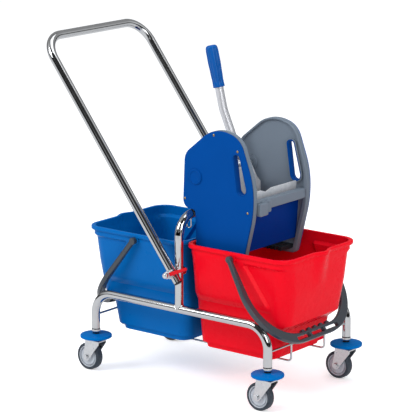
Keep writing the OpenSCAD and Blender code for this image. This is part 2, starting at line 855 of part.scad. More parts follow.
screw_head_d = 9;
screw_head_h = 2.2;
module cover_screws() {
  color(BRASS) at_hoop() both_sides() for (p = screws_at) translate([p[0], -wringer_w / 2, p[1]]) {
    y_cylinder(screw_d, 0, cover_t + side_wall_t - 1);
    rotate([90, 0, 0]) cylinder(d1 = screw_head_d, d2 = screw_head_d - 3, h = screw_head_h);
  }
}

// Plate in the YZ plane that grows from x = 0 towards +X
module cross_plate(t) {
  rotate([90, 0, 90]) linear_extrude(t) children();
}

inner_wall_x = 21;
inner_wall_low = -122;
inner_wall_top = 3;
module inner_end_wall() {
  color(DEEP_BLUE) at_hoop() translate([inner_wall_x, 0, inner_wall_low]) cross_plate(end_wall_t)
    translate([0, (inner_wall_top - inner_wall_low) / 2])
      square([2 * inner_y, inner_wall_top - inner_wall_low], center = true);
}

// The outer end wall and the counter plate inside it lean outwards together
outer_wall_at = [183, 10];
outer_wall_tilt = 4.4;
outer_wall_low = -100;
outer_wall_top = 20;
module at_outer_wall() {
  at_hoop() translate([outer_wall_at[0], 0, outer_wall_at[1]]) rotate([0, outer_wall_tilt, 0]) children();
}

module outer_end_wall() {
  color(DEEP_BLUE) at_outer_wall() translate([-end_wall_t, 0, 0]) cross_plate(end_wall_t)
    translate([0, (outer_wall_top + outer_wall_low) / 2])
      square([2 * web_y, outer_wall_top - outer_wall_low], center = true);
}

counter_w = inner_y - 3;
counter_low = -60;
counter_top = 68;
counter_dip = 8;
counter_dip_w = 36;
module counter_plate() {
  color(ZINC) at_outer_wall() translate([-end_wall_t - press_t, 0, 0]) cross_plate(press_t)
    polygon(rounded([
      [-counter_w, counter_low, 3],
      [counter_w, counter_low, 3],
      [counter_w, counter_top, 6],
      [counter_dip_w, counter_top, 40],
      [0, counter_top - counter_dip, 30],
      [-counter_dip_w, counter_top, 40],
      [-counter_w, counter_top, 6]
    ], 4));
}

crossbar_x = 190;
crossbar_depth = 22;
crossbar_z = 30;
crossbar_h = 28;
module crossbar() {
  color(GREY) at_hoop() translate([crossbar_x + crossbar_depth / 2, inner_y, crossbar_z + crossbar_h / 2])
    upright_plate(2 * inner_y) rounded_rect(crossbar_depth, crossbar_h, 3);
}

catch_t = 10;
// Lobes of the catch as [middle y, middle z, width, height]
catch_lobes = [[22 - inner_y, 37.5, 40, 37], [53 - inner_y, 44, 30, 16]];
module crossbar_catch() {
  color(GREY) at_hoop() translate([crossbar_x + crossbar_depth, 0, 0]) cross_plate(catch_t)
    for (l = catch_lobes) translate([l[0], l[1]]) rounded_rect(l[2], l[3], 5);
}

grille_z = -121;
// The grille lies between the rims of the side walls
rim_slope = (side_outline[2][0] - side_outline[1][0]) / (side_outline[2][1] - side_outline[1][1]);
rim_across = side_rim_w * norm([1, rim_slope]) + seat_gap;
grille_x0 = side_outline[0][0] + side_rim_w + seat_gap;
grille_x1 = side_outline[1][0] + rim_slope * (grille_z - side_foot_z) - rim_across;
grille_h = 11;
grille_slot = 7;
grille_pitch = 13;
grille_edge = 10;
module drain_grille() {
  slots = floor((grille_x1 - grille_x0 - 2 * grille_edge) / grille_pitch);
  first = (grille_x0 + grille_x1 - (slots - 1) * grille_pitch) / 2;
  color(GREY) at_hoop() translate([0, 0, grille_z]) linear_extrude(grille_h) difference() {
    translate([grille_x0, -web_y]) square([grille_x1 - grille_x0, 2 * web_y]);
    for (k = [0:slots - 1], s = [-1, 1])
      translate([first + k * grille_pitch, s * (web_y + grille_edge) / 2])
        rounded_rect(grille_slot, web_y - 3 * grille_edge, grille_slot / 2 - 0.01);
  }
}

// Press: the lever, its axle and the jaw turn together
module at_press() {
  at_hoop() translate([axle_at[0], 0, axle_at[1]]) children();
}

module axle_bushes() {
  color(GREY) at_press() both_sides() difference() {
    union() {
      y_cylinder(bush_flange_d, -web_y, -web_y + bush_flange_t);
      y_cylinder(bush_d, -cover_y, -web_y);
    }
    y_cylinder(press_axle_d + 2 * running_fit, -wringer_w, 0);
  }
}

module press_axle() {
  color(ZINC) at_press() y_cylinder(press_axle_d, -cover_y + 0.5, cover_y - 0.5);
}

jaw_x = 42;
jaw_w = inner_y - 9;
jaw_low = -210;
jaw_top = 5;
jaw_top_w = 50;
jaw_shoulder = -47;
arm_y = jaw_w - 8;
arm_t = 4;
arm_eye_d = 28;
module press_jaw() {
  color(ZINC) at_press() {
    translate([jaw_x, 0, 0]) cross_plate(press_t) polygon(rounded([
      [-jaw_w, jaw_low, 4],
      [jaw_w, jaw_low, 4],
      [jaw_w, jaw_shoulder, 6],
      [jaw_top_w, jaw_top, 10],
      [-jaw_top_w, jaw_top, 10],
      [-jaw_w, jaw_shoulder, 6]
    ], 4));
    both_sides() translate([0, -arm_y, 0]) upright_plate(arm_t) difference() {
      union() {
        circle(d = arm_eye_d);
        polygon([[-arm_eye_d / 2 + 1, -5], [9, 10], [jaw_x + 0.5, jaw_shoulder - 2], [jaw_x + 0.5, 0.67 * jaw_low]]);
      }
      circle(d = press_axle_d + 2 * weld_gap);
    }
  }
}

socket_d = tube_d + 6;
socket_len = 40;
socket_seat = 18;
module at_lever() {
  at_press() translate([0, lever_y, 0]) rotate([0, -lever_low_lean, 0]) children();
}

lever_turn = lever_low_lean - lever_high_lean;
lever_bend_r = lever_tangent / tan(lever_turn / 2);
module at_lever_top() {
  at_lever() translate([0, 0, lever_low_len]) rotate([0, lever_turn, 0]) children();
}

module lever_hub() {
  color(ZINC) difference() {
    at_press() union() {
      y_cylinder(lever_hub_d, lever_y - lever_hub_w / 2, lever_y + lever_hub_w / 2);
      translate([0, lever_y, 0]) rotate([0, -lever_low_lean, 0]) cylinder(d = socket_d, h = socket_len);
    }
    at_press() y_cylinder(press_axle_d + 2 * weld_gap, 0, 2 * lever_y);
    at_lever() translate([0, 0, socket_seat]) cylinder(d = tube_d + 2 * weld_gap, h = socket_len);
  }
}

grip_cap_t = 12;
lever_sides = 32;
lever_bend_steps = 4;
// Direction of the lever's axis where it leans by a from upright, in x and z
function lever_dir(a) = [-sin(a), cos(a)];

// Ring of diameter d round the lever's axis at p, square to its lean
function lever_ring(d, p, lean) =
  [for (k = [0:lever_sides - 1])
    let (a = 360 * k / lever_sides, across = d / 2 * cos(a))
    [p[0] + across * cos(lean), d / 2 * sin(a), p[1] + across * sin(lean)]];

// Rings of the lever's tube from its socket round the bend to the grip, running past both ends
function lever_rings(d, past) =
  let (
    bend_at = (lever_low_len - lever_tangent) * lever_dir(lever_low_lean),
    corner = lever_low_len * lever_dir(lever_low_lean),
    top = corner + (lever_high_len - grip_cap_t + past) * lever_dir(lever_high_lean)
  )
  concat(
    [lever_ring(d, (socket_seat - past) * lever_dir(lever_low_lean), lever_low_lean)],
    [for (k = [0:lever_bend_steps])
      let (
        lean = lever_low_lean - lever_turn * k / lever_bend_steps,
        chord = [cos(lever_low_lean) - cos(lean), sin(lever_low_lean) - sin(lean)]
      ) lever_ring(d, bend_at + lever_bend_r * chord, lean)],
    [lever_ring(d, top, lever_high_lean)]
  );

module lever_tube() {
  color(ZINC) at_press() translate([0, lever_y, 0]) difference() {
    loft(lever_rings(tube_d, 0));
    loft(lever_rings(tube_d - 2 * lever_wall, 1));
  }
}

module lever_grip() {
  r = lever_grip_d / 2;
  bore = tube_d / 2 + weld_gap;
  hollow = lever_grip_len - grip_cap_t;
  color(DEEP_BLUE) at_lever_top() translate([0, 0, lever_high_len - lever_grip_len]) rotate_extrude()
    polygon(rounded([
      [bore, 0, 0],
      [r - 1.5, 0, 2.5],
      [r - 2.5, lever_grip_len * 0.15, lever_grip_len * 0.25],
      [r, lever_grip_len * 0.6, lever_grip_len * 0.5],
      [r - 2, lever_grip_len, 9],
      [0, lever_grip_len, 0],
      [0, hollow, 0],
      [bore, hollow, 0]
    ], 6));
}

side_rail(-1);  // front_side_rail
side_rail(1);  // back_side_rail
centre_hoop();
end_rod(-1);  // left_end_rod
end_rod(1);  // right_end_rod
cradle_wire(-1);  // front_cradle_wire
cradle_wire(1);  // back_cradle_wire
for (c = CORNERS) {
  caster_stem(c);
  caster_bumper(c);
  caster_fork(c);
  caster_axle(c);
  caster_hub(c);
  caster_tyre(c);
}
push_handle();
handle_end_plugs();
clamp_bolts();
post_saddles();
handle_saddles();
clamp_lever();  // front_clamp_lever
mirror([0, 1, 0]) clamp_lever();  // back_clamp_lever
blue_bucket();
blue_bail();
red_bucket();
red_bail();
front_side_wall();
back_side_wall();
front_cover();
back_cover();
cover_screws();
inner_end_wall();
outer_end_wall();
crossbar();
crossbar_catch();
drain_grille();
counter_plate();
axle_bushes();
press_axle();
press_jaw();
lever_hub();
lever_tube();
lever_grip();
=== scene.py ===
"""Double mop bucket trolley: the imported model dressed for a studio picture."""
import math

import bmesh
import bpy
from mathutils import Matrix, Vector


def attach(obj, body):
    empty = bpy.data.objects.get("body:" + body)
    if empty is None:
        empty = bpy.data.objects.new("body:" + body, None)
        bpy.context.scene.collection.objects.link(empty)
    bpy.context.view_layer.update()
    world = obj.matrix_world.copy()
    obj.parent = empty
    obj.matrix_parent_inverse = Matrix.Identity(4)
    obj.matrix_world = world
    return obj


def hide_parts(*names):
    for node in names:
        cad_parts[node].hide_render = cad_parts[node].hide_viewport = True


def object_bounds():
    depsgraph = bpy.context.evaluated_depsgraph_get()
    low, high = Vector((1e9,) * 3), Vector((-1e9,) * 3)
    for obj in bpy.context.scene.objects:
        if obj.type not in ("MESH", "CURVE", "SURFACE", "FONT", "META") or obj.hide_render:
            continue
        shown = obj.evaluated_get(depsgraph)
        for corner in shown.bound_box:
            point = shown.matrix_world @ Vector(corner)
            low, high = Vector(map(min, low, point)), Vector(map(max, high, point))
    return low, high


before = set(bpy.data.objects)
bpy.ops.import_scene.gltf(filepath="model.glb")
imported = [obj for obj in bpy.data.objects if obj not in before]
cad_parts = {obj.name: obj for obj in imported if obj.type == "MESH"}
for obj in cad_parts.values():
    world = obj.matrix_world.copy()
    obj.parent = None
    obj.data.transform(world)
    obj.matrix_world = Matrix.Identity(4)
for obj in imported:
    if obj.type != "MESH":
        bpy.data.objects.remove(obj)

cad_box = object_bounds()
scene = bpy.context.scene
MM = 0.001


# Camera at the photograph's viewing angle, in degrees and metres, with its lens in millimetres

CAMERA_AZIMUTH, CAMERA_ELEVATION = 38.084, 13.223
CAMERA_TARGET = Vector((-0.037815, 0, 0.481886))
CAMERA_DISTANCE, CAMERA_FAR = 6.34013, 100
CAMERA_LENS, CAMERA_SENSOR = 190.92, 36


def place_camera():
    """Sets the camera up so that it looks straight at its target."""
    turn, lift = math.radians(CAMERA_AZIMUTH), math.radians(CAMERA_ELEVATION)
    back = Vector((math.sin(turn) * math.cos(lift), -math.cos(turn) * math.cos(lift), math.sin(lift)))
    data = bpy.data.cameras.new("camera")
    data.lens, data.sensor_width, data.clip_end = CAMERA_LENS, CAMERA_SENSOR, CAMERA_FAR
    camera = bpy.data.objects.new("camera", data)
    scene.collection.objects.link(camera)
    camera.location = CAMERA_TARGET + CAMERA_DISTANCE * back
    camera.rotation_euler = (-back).to_track_quat("-Z", "Y").to_euler()
    scene.camera = camera


# Materials

def linear(colour):
    """An sRGB hex colour as linear RGBA."""
    parts = [int(colour[i:i + 2], 16) / 255 for i in (1, 3, 5)]
    return [c / 12.92 if c <= 0.04045 else ((c + 0.055) / 1.055) ** 2.4 for c in parts] + [1]


def add(tree, kind, inputs=None, **settings):
    """Adds a node; inputs gives each socket its value, or the output that is linked into it."""
    node = tree.nodes.new(kind)
    for key, value in settings.items():
        setattr(node, key, value)
    for key, value in (inputs or {}).items():
        if isinstance(value, bpy.types.NodeSocket):
            tree.links.new(value, node.inputs[key])
        else:
            node.inputs[key].default_value = value
    return node


def ramp(tree, factor, stops):
    """A colour ramp over a 0 to 1 factor; stops are (place, colour) with colour as hex or a grey level."""
    node = add(tree, "ShaderNodeValToRGB", {"Fac": factor})
    band = node.color_ramp.elements
    while len(band) < len(stops):
        band.new(1)
    for element, (place, colour) in zip(band, stops):
        element.position = place
        element.color = linear(colour) if isinstance(colour, str) else [colour, colour, colour, 1]
    return node.outputs["Color"]


def new_material(name):
    """A node material with its tree, its shader and the place on the surface in metres."""
    material = bpy.data.materials.new(name)
    material.use_nodes = True
    tree = material.node_tree
    tree.nodes.clear()
    shader = add(tree, "ShaderNodeBsdfPrincipled")
    add(tree, "ShaderNodeOutputMaterial", {"Surface": shader.outputs["BSDF"]})
    place = add(tree, "ShaderNodeTexCoord").outputs["Object"]
    return material, tree, shader, place


def link_finish(tree, shader, colour, gloss, bump):
    """Feeds a finish's colour, roughness and bumpy normal into its shader."""
    tree.links.new(colour, shader.inputs["Base Color"])
    tree.links.new(gloss.outputs["Result"], shader.inputs["Roughness"])
    tree.links.new(bump.outputs["Normal"], shader.inputs["Normal"])


def per_metre(size_mm):
    """Texture scale at which one cell of a pattern measures size_mm."""
    return 1000 / size_mm


def moulded_plastic(name, colour, shade, roughness, grain_mm=0.9, grain=0.08, round_mm=0.8, shine=0.16):
    """Moulded polypropylene and its like: even pigment with faint flow clouds, a waxy gloss, fine grain."""
    # The real grain is too fine to show, so it is drawn coarser
    cloud_mm, scuff_mm = 140, 26
    material, tree, shader, place = new_material(name)
    cloud = add(tree, "ShaderNodeTexNoise", {"Vector": place, "Scale": per_metre(cloud_mm), "Detail": 3.0})
    pigment = ramp(tree, cloud.outputs["Fac"], [(0.25, shade), (0.75, colour)])
    scuff = add(tree, "ShaderNodeTexNoise", {"Vector": place, "Scale": per_metre(scuff_mm), "Detail": 5.0})
    gloss = add(tree, "ShaderNodeMapRange", {"Value": scuff.outputs["Fac"], "From Min": 0.3, "From Max": 0.7,
                                             "To Min": roughness - 0.03, "To Max": roughness + 0.04})
    fine = add(tree, "ShaderNodeTexNoise", {"Vector": place, "Scale": per_metre(grain_mm), "Detail": 2.0})
    soft_edge = add(tree, "ShaderNodeBevel", {"Radius": round_mm * MM}, samples=4)
    skin = add(tree, "ShaderNodeBump", {"Strength": grain, "Distance": 0.2 * MM,
                                        "Height": fine.outputs["Fac"], "Normal": soft_edge.outputs["Normal"]})
    link_finish(tree, shader, pigment, gloss, skin)
    shader.inputs["IOR"].default_value = 1.49
    shader.inputs["Specular IOR Level"].default_value = shine
    return material


def chromed_steel(name, roughness=0.05):
    """Bright nickel-chrome plate on polished tube: a mirror with faint wiping haze and slight waviness."""
    haze_mm, wave_mm = 18, 45
    material, tree, shader, place = new_material(name)
    haze = add(tree, "ShaderNodeTexNoise", {"Vector": place, "Scale": per_metre(haze_mm), "Detail": 4.0})
    blur = add(tree, "ShaderNodeMapRange", {"Value": haze.outputs["Fac"], "From Min": 0.35, "From Max": 0.8,
                                            "To Min": roughness, "To Max": roughness + 0.08})
    tint = ramp(tree, haze.outputs["Fac"], [(0.2, "#BEC0C3"), (0.8, "#C6C8CA")])
    wave = add(tree, "ShaderNodeTexNoise", {"Vector": place, "Scale": per_metre(wave_mm), "Detail": 1.0})
    bump = add(tree, "ShaderNodeBump", {"Strength": 0.05, "Distance": 0.3 * MM,
                                        "Height": wave.outputs["Fac"]})
    link_finish(tree, shader, tint, blur, bump)
    shader.inputs["Metallic"].default_value = 1
    return material


def zinc_plated_steel(name, colour="#D6D8DB", shade="#CCCFD3", roughness=0.3, spangle_mm=6, metal=1.0):
    """Sheet with a bright zinc finish: soft metal gloss in small crystal patches and fine scratches."""
    # The real scratches are too fine to show, so they are drawn coarser
    scratch_mm, round_mm = 1.5, 0.5
    material, tree, shader, place = new_material(name)
    crystal = add(tree, "ShaderNodeTexVoronoi", {"Vector": place, "Scale": per_metre(spangle_mm)})
    patch = add(tree, "ShaderNodeSeparateColor", {"Color": crystal.outputs["Color"]}).outputs["Red"]
    tint = ramp(tree, patch, [(0.1, shade), (0.9, colour)])
    gloss = add(tree, "ShaderNodeMapRange", {"Value": patch, "To Min": roughness - 0.03,
                                             "To Max": roughness + 0.04})
    scratch = add(tree, "ShaderNodeTexNoise", {"Vector": place, "Scale": per_metre(scratch_mm),
                                               "Detail": 3.0})
    soft_edge = add(tree, "ShaderNodeBevel", {"Radius": round_mm * MM}, samples=4)
    bump = add(tree, "ShaderNodeBump", {"Strength": 0.06, "Distance": 0.2 * MM,
                                        "Height": scratch.outputs["Fac"],
                                        "Normal": soft_edge.outputs["Normal"]})
    link_finish(tree, shader, tint, gloss, bump)
    shader.inputs["Metallic"].default_value = metal
    return material


def drawn_aluminium(name):
    """Drawn, satin-anodised aluminium tube: a silky grey with die lines along it."""
    # The real die lines are too fine to show, so they are drawn 1.2 mm apart
    line_mm, line_stretch = 1.2, 0.03
    material, tree, shader, place = new_material(name)
    squeeze = add(tree, "ShaderNodeMapping", {"Vector": place, "Scale": (1, 1, line_stretch)})
    lines = add(tree, "ShaderNodeTexNoise", {"Vector": squeeze.outputs["Vector"], "Scale": per_metre(line_mm),
                                             "Detail": 2.0})
    tint = ramp(tree, lines.outputs["Fac"], [(0.3, "#D8DAE0"), (0.7, "#ECEDF1")])
    gloss = add(tree, "ShaderNodeMapRange", {"Value": lines.outputs["Fac"], "To Min": 0.42, "To Max": 0.56})
    bump = add(tree, "ShaderNodeBump", {"Strength": 0.05, "Distance": 0.1 * MM,
                                        "Height": lines.outputs["Fac"]})
    link_finish(tree, shader, tint, gloss, bump)
    shader.inputs["Metallic"].default_value = 1
    return material


def thermoplastic_rubber(name):
    """Moulded grey tyre rubber: matt, slightly dusty in its pores, with a fine moulded grain."""
    # The real grain is too fine to show, so it is drawn coarser
    grime_mm, grain_mm = 9, 0.8
    material, tree, shader, place = new_material(name)
    grime = add(tree, "ShaderNodeTexNoise", {"Vector": place, "Scale": per_metre(grime_mm), "Detail": 6.0})
    tint = ramp(tree, grime.outputs["Fac"], [(0.4, "#333B44"), (0.85, "#4A525C")])
    fine = add(tree, "ShaderNodeTexNoise", {"Vector": place, "Scale": per_metre(grain_mm), "Detail": 2.0})
    gloss = add(tree, "ShaderNodeMapRange", {"Value": grime.outputs["Fac"], "To Min": 0.42, "To Max": 0.68})
    bump = add(tree, "ShaderNodeBump", {"Strength": 0.12, "Distance": 0.2 * MM,
                                        "Height": fine.outputs["Fac"]})
    link_finish(tree, shader, tint, gloss, bump)
    shader.inputs["IOR"].default_value = 1.52
    shader.inputs["Specular IOR Level"].default_value = 0.25
    return material


# Polished moulds leave buckets, bails and grip glossy, and eroded ones leave covers and walls matt
BUCKET_BLUE = moulded_plastic("blue_bucket_polypropylene", "#0068B6", "#0064B0", 0.3, grain=0.03, shine=0.07)
BUCKET_RED = moulded_plastic("red_bucket_polypropylene", "#F20A22", "#EE0920", 0.27, grain=0.03, shine=0.07)
COVER_BLUE = moulded_plastic("blue_cover_polypropylene", "#004796", "#004490", 0.45, grain=0.12, shine=0.03)
# The end walls take the cover's blue darkened as painted shade, for faces turned from the light and sunk in
# the wringer
SHADED_WALL_BLUE = moulded_plastic("shade_darkened_blue_wall_polypropylene", "#00338A", "#002F80", 0.45, grain=0.12, shine=0.03)
BUMPER_BLUE = moulded_plastic("blue_bumper_polypropylene", "#006EBE", "#0068B4", 0.3,
                              round_mm=1.2, shine=0.02)
GRIP_BLUE = moulded_plastic("blue_grip_vinyl", "#0056A6", "#00509C", 0.22,
                            grain_mm=1.4, grain=0.03, shine=0.2)
WALL_GREY = moulded_plastic("grey_wall_polypropylene", "#76828F", "#6F7B88", 0.46, grain=0.14, shine=0.12)
BAIL_GREY = moulded_plastic("grey_bail_polypropylene", "#363D46", "#313840", 0.24, grain=0.03, shine=0.6)
HUB_GREY = moulded_plastic("grey_hub_polypropylene", "#C2C8D0", "#BAC0C8", 0.38)
# The grille's grey plastic is painted near-black as painted shade, for the shade it lies in at the wringer's
# foot
SHADE_PAINTED_GRILLE = moulded_plastic("shade_painted_grille_polypropylene", "#23272C", "#1C2024", 0.5)
PLUG_BLACK = moulded_plastic("black_plug_polyethylene", "#1E2125", "#181A1D", 0.45)
LEVER_RED = moulded_plastic("red_lever_nylon", "#D90F1E", "#CC0C1A", 0.34)
CHROME = chromed_steel("chromed_steel_tube")
WELD = chromed_steel("chromed_weld_metal", 0.16)
WIRE_CHROME = chromed_steel("chromed_steel_wire", 0.1)
ZINC = zinc_plated_steel("zinc_plated_fork_steel")
GALVANISED = zinc_plated_steel("galvanised_press_sheet", "#DCDEE2", "#D2D5D9", 0.4, 9, 0.35)
PASSIVATED = zinc_plated_steel("yellow_passivated_screw_steel", "#B49B6C", "#9A8258", 0.32, 2)
ALUMINIUM = drawn_aluminium("drawn_aluminium_lever")
RUBBER = thermoplastic_rubber("grey_tyre_rubber")

FINISHES = {
    "blue_bucket": BUCKET_BLUE, "red_bucket": BUCKET_RED, "blue_bail": BAIL_GREY, "red_bail": BAIL_GREY,
    "front_cover": COVER_BLUE, "back_cover": COVER_BLUE, "cover_screws": PASSIVATED,
    "inner_end_wall": SHADED_WALL_BLUE, "outer_end_wall": SHADED_WALL_BLUE, "front_side_wall": WALL_GREY,
    "back_side_wall": WALL_GREY, "crossbar": WALL_GREY, "crossbar_catch": WALL_GREY,
    "axle_bushes": WALL_GREY, "drain_grille": SHADE_PAINTED_GRILLE, "counter_plate": GALVANISED,
    "press_jaw": GALVANISED, "press_axle": ZINC, "lever_hub": ZINC, "lever_tube": ALUMINIUM,
    "lever_grip": GRIP_BLUE, "handle_end_plugs": PLUG_BLACK, "clamp_bolts": ZINC, "post_saddles": CHROME,
    "handle_saddles": CHROME, "front_clamp_lever": LEVER_RED, "back_clamp_lever": LEVER_RED,
    "left_end_rod": WIRE_CHROME, "right_end_rod": WIRE_CHROME, "front_cradle_wire": WIRE_CHROME,
    "back_cradle_wire": WIRE_CHROME,
}
# The stems are black nylon sleeves, and the strip of sleeve left bare under each leg's end is a painted
# shadow line in that gap
CASTER_FINISHES = {"stem": PLUG_BLACK, "bumper": BUMPER_BLUE, "fork": ZINC, "axle": ZINC, "hub": HUB_GREY,
                   "tyre": RUBBER}


def finish_nodes():
    """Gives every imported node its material; the remaining tubes are chromed."""
    for name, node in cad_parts.items():
        material = FINISHES.get(name) or CASTER_FINISHES.get(name.rsplit("_", 1)[-1]) or CHROME
        node.data.materials.clear()
        node.data.materials.append(material)


# Ways of making a piece, with sizes in millimetres

SHARP_EDGE = math.radians(35)


def new_piece(name, shape, material, body, slot, *nodes):
    """Makes a piece of a bmesh; it rides on a body and stands for its nodes."""
    bmesh.ops.recalc_face_normals(shape, faces=shape.faces)
    mesh = bpy.data.meshes.new(name)
    shape.to_mesh(mesh)
    shape.free()
    mesh.shade_smooth()
    mesh.set_sharp_from_angle(angle=SHARP_EDGE)
    mesh.materials.append(material)
    piece = bpy.data.objects.new(name, mesh)
    scene.collection.objects.link(piece)
    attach(piece, body)
    if nodes:
        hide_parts(*nodes)


def skin_rings(shape, rings, close_path):
    """Joins equal rings of points with quads; a closed path joins its last ring to its first."""
    rows = [[shape.verts.new(point) for point in ring] for ring in rings]
    if close_path:
        rows.append(rows[0])
    else:
        shape.faces.new(rows[0])
        shape.faces.new(rows[-1])
    for row, after in zip(rows, rows[1:]):
        for k in range(len(row)):
            shape.faces.new((row[k - 1], row[k], after[k], after[k - 1]))


def add_turning(shape, place, profile, sides=64, closed=False):
    """Adds a turned form about Z from (radius, height) pairs; an open profile gets flat ends."""
    rings = [[place @ Vector((r * math.cos(a), r * math.sin(a), h)) * MM
              for a in (math.tau * k / sides for k in range(sides))] for r, h in profile]
    skin_rings(shape, rings, closed)


def add_plate(shape, place, thickness, edge, outline, *holes):
    """Adds a flat plate with rounded edges, cut from an outline and its holes, centred on its plane."""
    curve = bpy.data.curves.new("outline", "CURVE")
    curve.dimensions, curve.fill_mode = "2D", "BOTH"
    curve.extrude, curve.bevel_depth, curve.bevel_resolution = (thickness / 2 - edge) * MM, edge * MM, 2
    curve.offset = -edge * MM
    for loop in (outline, *(hole[::-1] for hole in holes)):
        spline = curve.splines.new("POLY")
        spline.points.add(len(loop) - 1)
        for point, (x, y) in zip(spline.points, loop):
            point.co = (x * MM, y * MM, 0, 1)
        spline.use_cyclic_u = True
    drawing = bpy.data.objects.new("outline", curve)
    scene.collection.objects.link(drawing)
    mesh = bpy.data.meshes.new_from_object(drawing.evaluated_get(bpy.context.evaluated_depsgraph_get()))
    place = place.copy()
    place.translation *= MM
    mesh.transform(place)
    shape.from_mesh(mesh)
    bpy.data.meshes.remove(mesh)
    bpy.data.objects.remove(drawing)
    bpy.data.curves.remove(curve)


def rounded(corners, steps=10):
    """Outline of (x, y, fillet radius) corners, with the fillets as arcs."""
    outline = []
    for k, (x, y, radius) in enumerate(corners):
        corner = Vector((x, y))
        if not radius:
            outline.append(corner)
            continue
        before = (Vector(corners[k - 1][:2]) - corner).normalized()
        after = (Vector(corners[(k + 1) % len(corners)][:2]) - corner).normalized()
        half = before.angle(after) / 2
        middle = corner + (before + after).normalized() * radius / math.sin(half)
        start, end = (corner + way * radius / math.tan(half) - middle for way in (before, after))
        turn = math.atan2(start.x * end.y - start.y * end.x, start.dot(end))
        outline += [middle + Matrix.Rotation(turn * j / steps, 2) @ start for j in range(steps + 1)]
    return outline


def soft_box(x, y, width, height, fillet, steps):
    """Outline of a box with filleted corners, from its middle and its size."""
    w, h = width / 2, height / 2
    return rounded([(x - w, y - h, fillet), (x + w, y - h, fillet), (x + w, y + h, fillet),
                    (x - w, y + h, fillet)], steps)


def inset(corners, widths):
    """The same corners with each side moved inwards by its width, for an anticlockwise outline."""
    moved = []
    for k, (x, y, radius) in enumerate(corners):
        corner, width, width_before = Vector((x, y)), widths[k], widths[k - 1]
        before = (corner - Vector(corners[k - 1][:2])).normalized()
        after = (Vector(corners[(k + 1) % len(corners)][:2]) - corner).normalized()
        in_before, in_after = Vector((-before.y, before.x)), Vector((-after.y, after.x))
        shared = in_before.dot(in_after)
        step = (width_before - width * shared) * in_before + (width - width_before * shared) * in_after
        place = corner + step / (1 - shared * shared)
        convex = 1 if in_before.x * in_after.y > in_before.y * in_after.x else -1
        moved.append((place.x, place.y, max(radius - convex * min(width, width_before), 1)))
    return moved


def circle(x, y, radius, sides=32):
    """Outline of a round hole."""
    return [Vector((x + radius * math.cos(a), y + radius * math.sin(a)))
            for a in (math.tau * k / sides for k in range(sides))]


def smooth(low, high, value):
    """Soft step from 0 at low to 1 at high."""
    t = min(max((value - low) / (high - low), 0), 1)
    return t * t * (3 - 2 * t)


# Upright plate whose thickness runs along Y, and cross plate whose thickness runs along X
UPRIGHT = Matrix.Rotation(math.pi / 2, 4, "X")
ACROSS = Matrix(((0, 0, 1, 0), (1, 0, 0, 0), (0, 1, 0, 0), (0, 0, 0, 1)))


def at(x, y, z):
    """Move to a place."""
    return Matrix.Translation((x, y, z))


def outwards(side):
    """Turn that points a form's Z axis along Y, away from the trolley's middle."""
    return Matrix.Rotation(-side * math.pi / 2, 4, "X")


# Welds of the frame

TUBE_R, ROD_R, EYE_WIRE_R = 12.5, 3.0, 2.0
POST_Y, STEM_X, WIRE_Y, EYE_X, EYE_Y = 188.0, 309.0, 79.0, 7.5, 143.0
RAIL_Z, HOOP_Z, END_ROD_Z = 238.3, 501.8, 167.8
BEAD_STEPS, BEAD_SIDES, BEAD_RIPPLE, RIPPLE_STEPS = 72, 8, 0.14, 4
HOOP_BEAD_R, ROD_BEAD_R, WIRE_BEAD_R, EYE_BEAD_R = 1.9, 1.1, 0.9, 0.7
# Softens the kink at either side of a seam between two tubes or rods of one size
HOOP_SEAM_EASE, WIRE_SEAM_EASE = 0.01, 0.02


def weld_bead(shape, seam, bead_r):
    """Adds one rippled bead of weld metal along a closed seam, a function of the angle round it."""
    points = [Vector(seam(math.tau * k / BEAD_STEPS)) for k in range(BEAD_STEPS)]
    side = (points[1] - points[-1]).normalized().orthogonal()
    rings = []
    for k, point in enumerate(points):
        along = (points[(k + 1) % BEAD_STEPS] - points[k - 1]).normalized()
        side = (side - along * side.dot(along)).normalized()
        across = along.cross(side)
        swell = bead_r * (1 + BEAD_RIPPLE * math.sin(math.tau * k / RIPPLE_STEPS))
        rings.append([(point + swell * (math.cos(a) * side + math.sin(a) * across)) * MM
                      for a in (math.tau * j / BEAD_SIDES for j in range(BEAD_SIDES))])
    skin_rings(shape, rings, True)


def tube_depth(offset):
    """Distance from a tube's middle plane to its skin, at an offset across the tube."""
    return math.sqrt(TUBE_R ** 2 - offset ** 2)


def weld_frame():
    """Beads where hoop meets rails, rods meet legs, and wires and eyes meet what carries them."""
    shape = bmesh.new()
    for side in (-1, 1):
        weld_bead(shape, lambda a: (TUBE_R * math.cos(a), side * POST_Y + TUBE_R * math.sin(a),
                                    RAIL_Z + TUBE_R * math.sqrt(math.cos(a) ** 2 + HOOP_SEAM_EASE)),
                  HOOP_BEAD_R)
        for end in (-1, 1):
            leg_x, eye_x = end * STEM_X, end * EYE_X
            weld_bead(shape, lambda a: (leg_x + ROD_R * math.cos(a),
                                        side * (POST_Y - tube_depth(ROD_R * math.cos(a))),
                                        END_ROD_Z + ROD_R * math.sin(a)), ROD_BEAD_R)
            weld_bead(shape, lambda a: (leg_x + ROD_R * math.cos(a), side * WIRE_Y + ROD_R * math.sin(a),
                                        END_ROD_Z - ROD_R * math.sqrt(math.sin(a) ** 2 + WIRE_SEAM_EASE)),
                      WIRE_BEAD_R)
            weld_bead(shape, lambda a: (eye_x + EYE_WIRE_R * math.cos(a),
                                        side * EYE_Y + EYE_WIRE_R * math.sin(a),
                                        HOOP_Z - tube_depth(eye_x + EYE_WIRE_R * math.cos(a))), EYE_BEAD_R)
    new_piece("frame_weld_beads", shape, WELD, "frame", "chromed_tube")


# Buckets

RIM_GAP, RIM_LEN, RIM_W, RIM_LIP, RIM_H, BAND_H = 4.0, 354.0, 352.0, 6.5, 12.0, 26.0
BUCKET_H, BUCKET_FOOT_Z, BUCKET_WALL, SPOUT_W = 304.0, 121.1, 3.0, 84.0
PIVOT_X, PIVOT_Z, LUG_R, LUG_H, LUG_EDGE, LUG_SINK = 172.0, 406.1, 12.0, 7.5, 1.0, 8.0
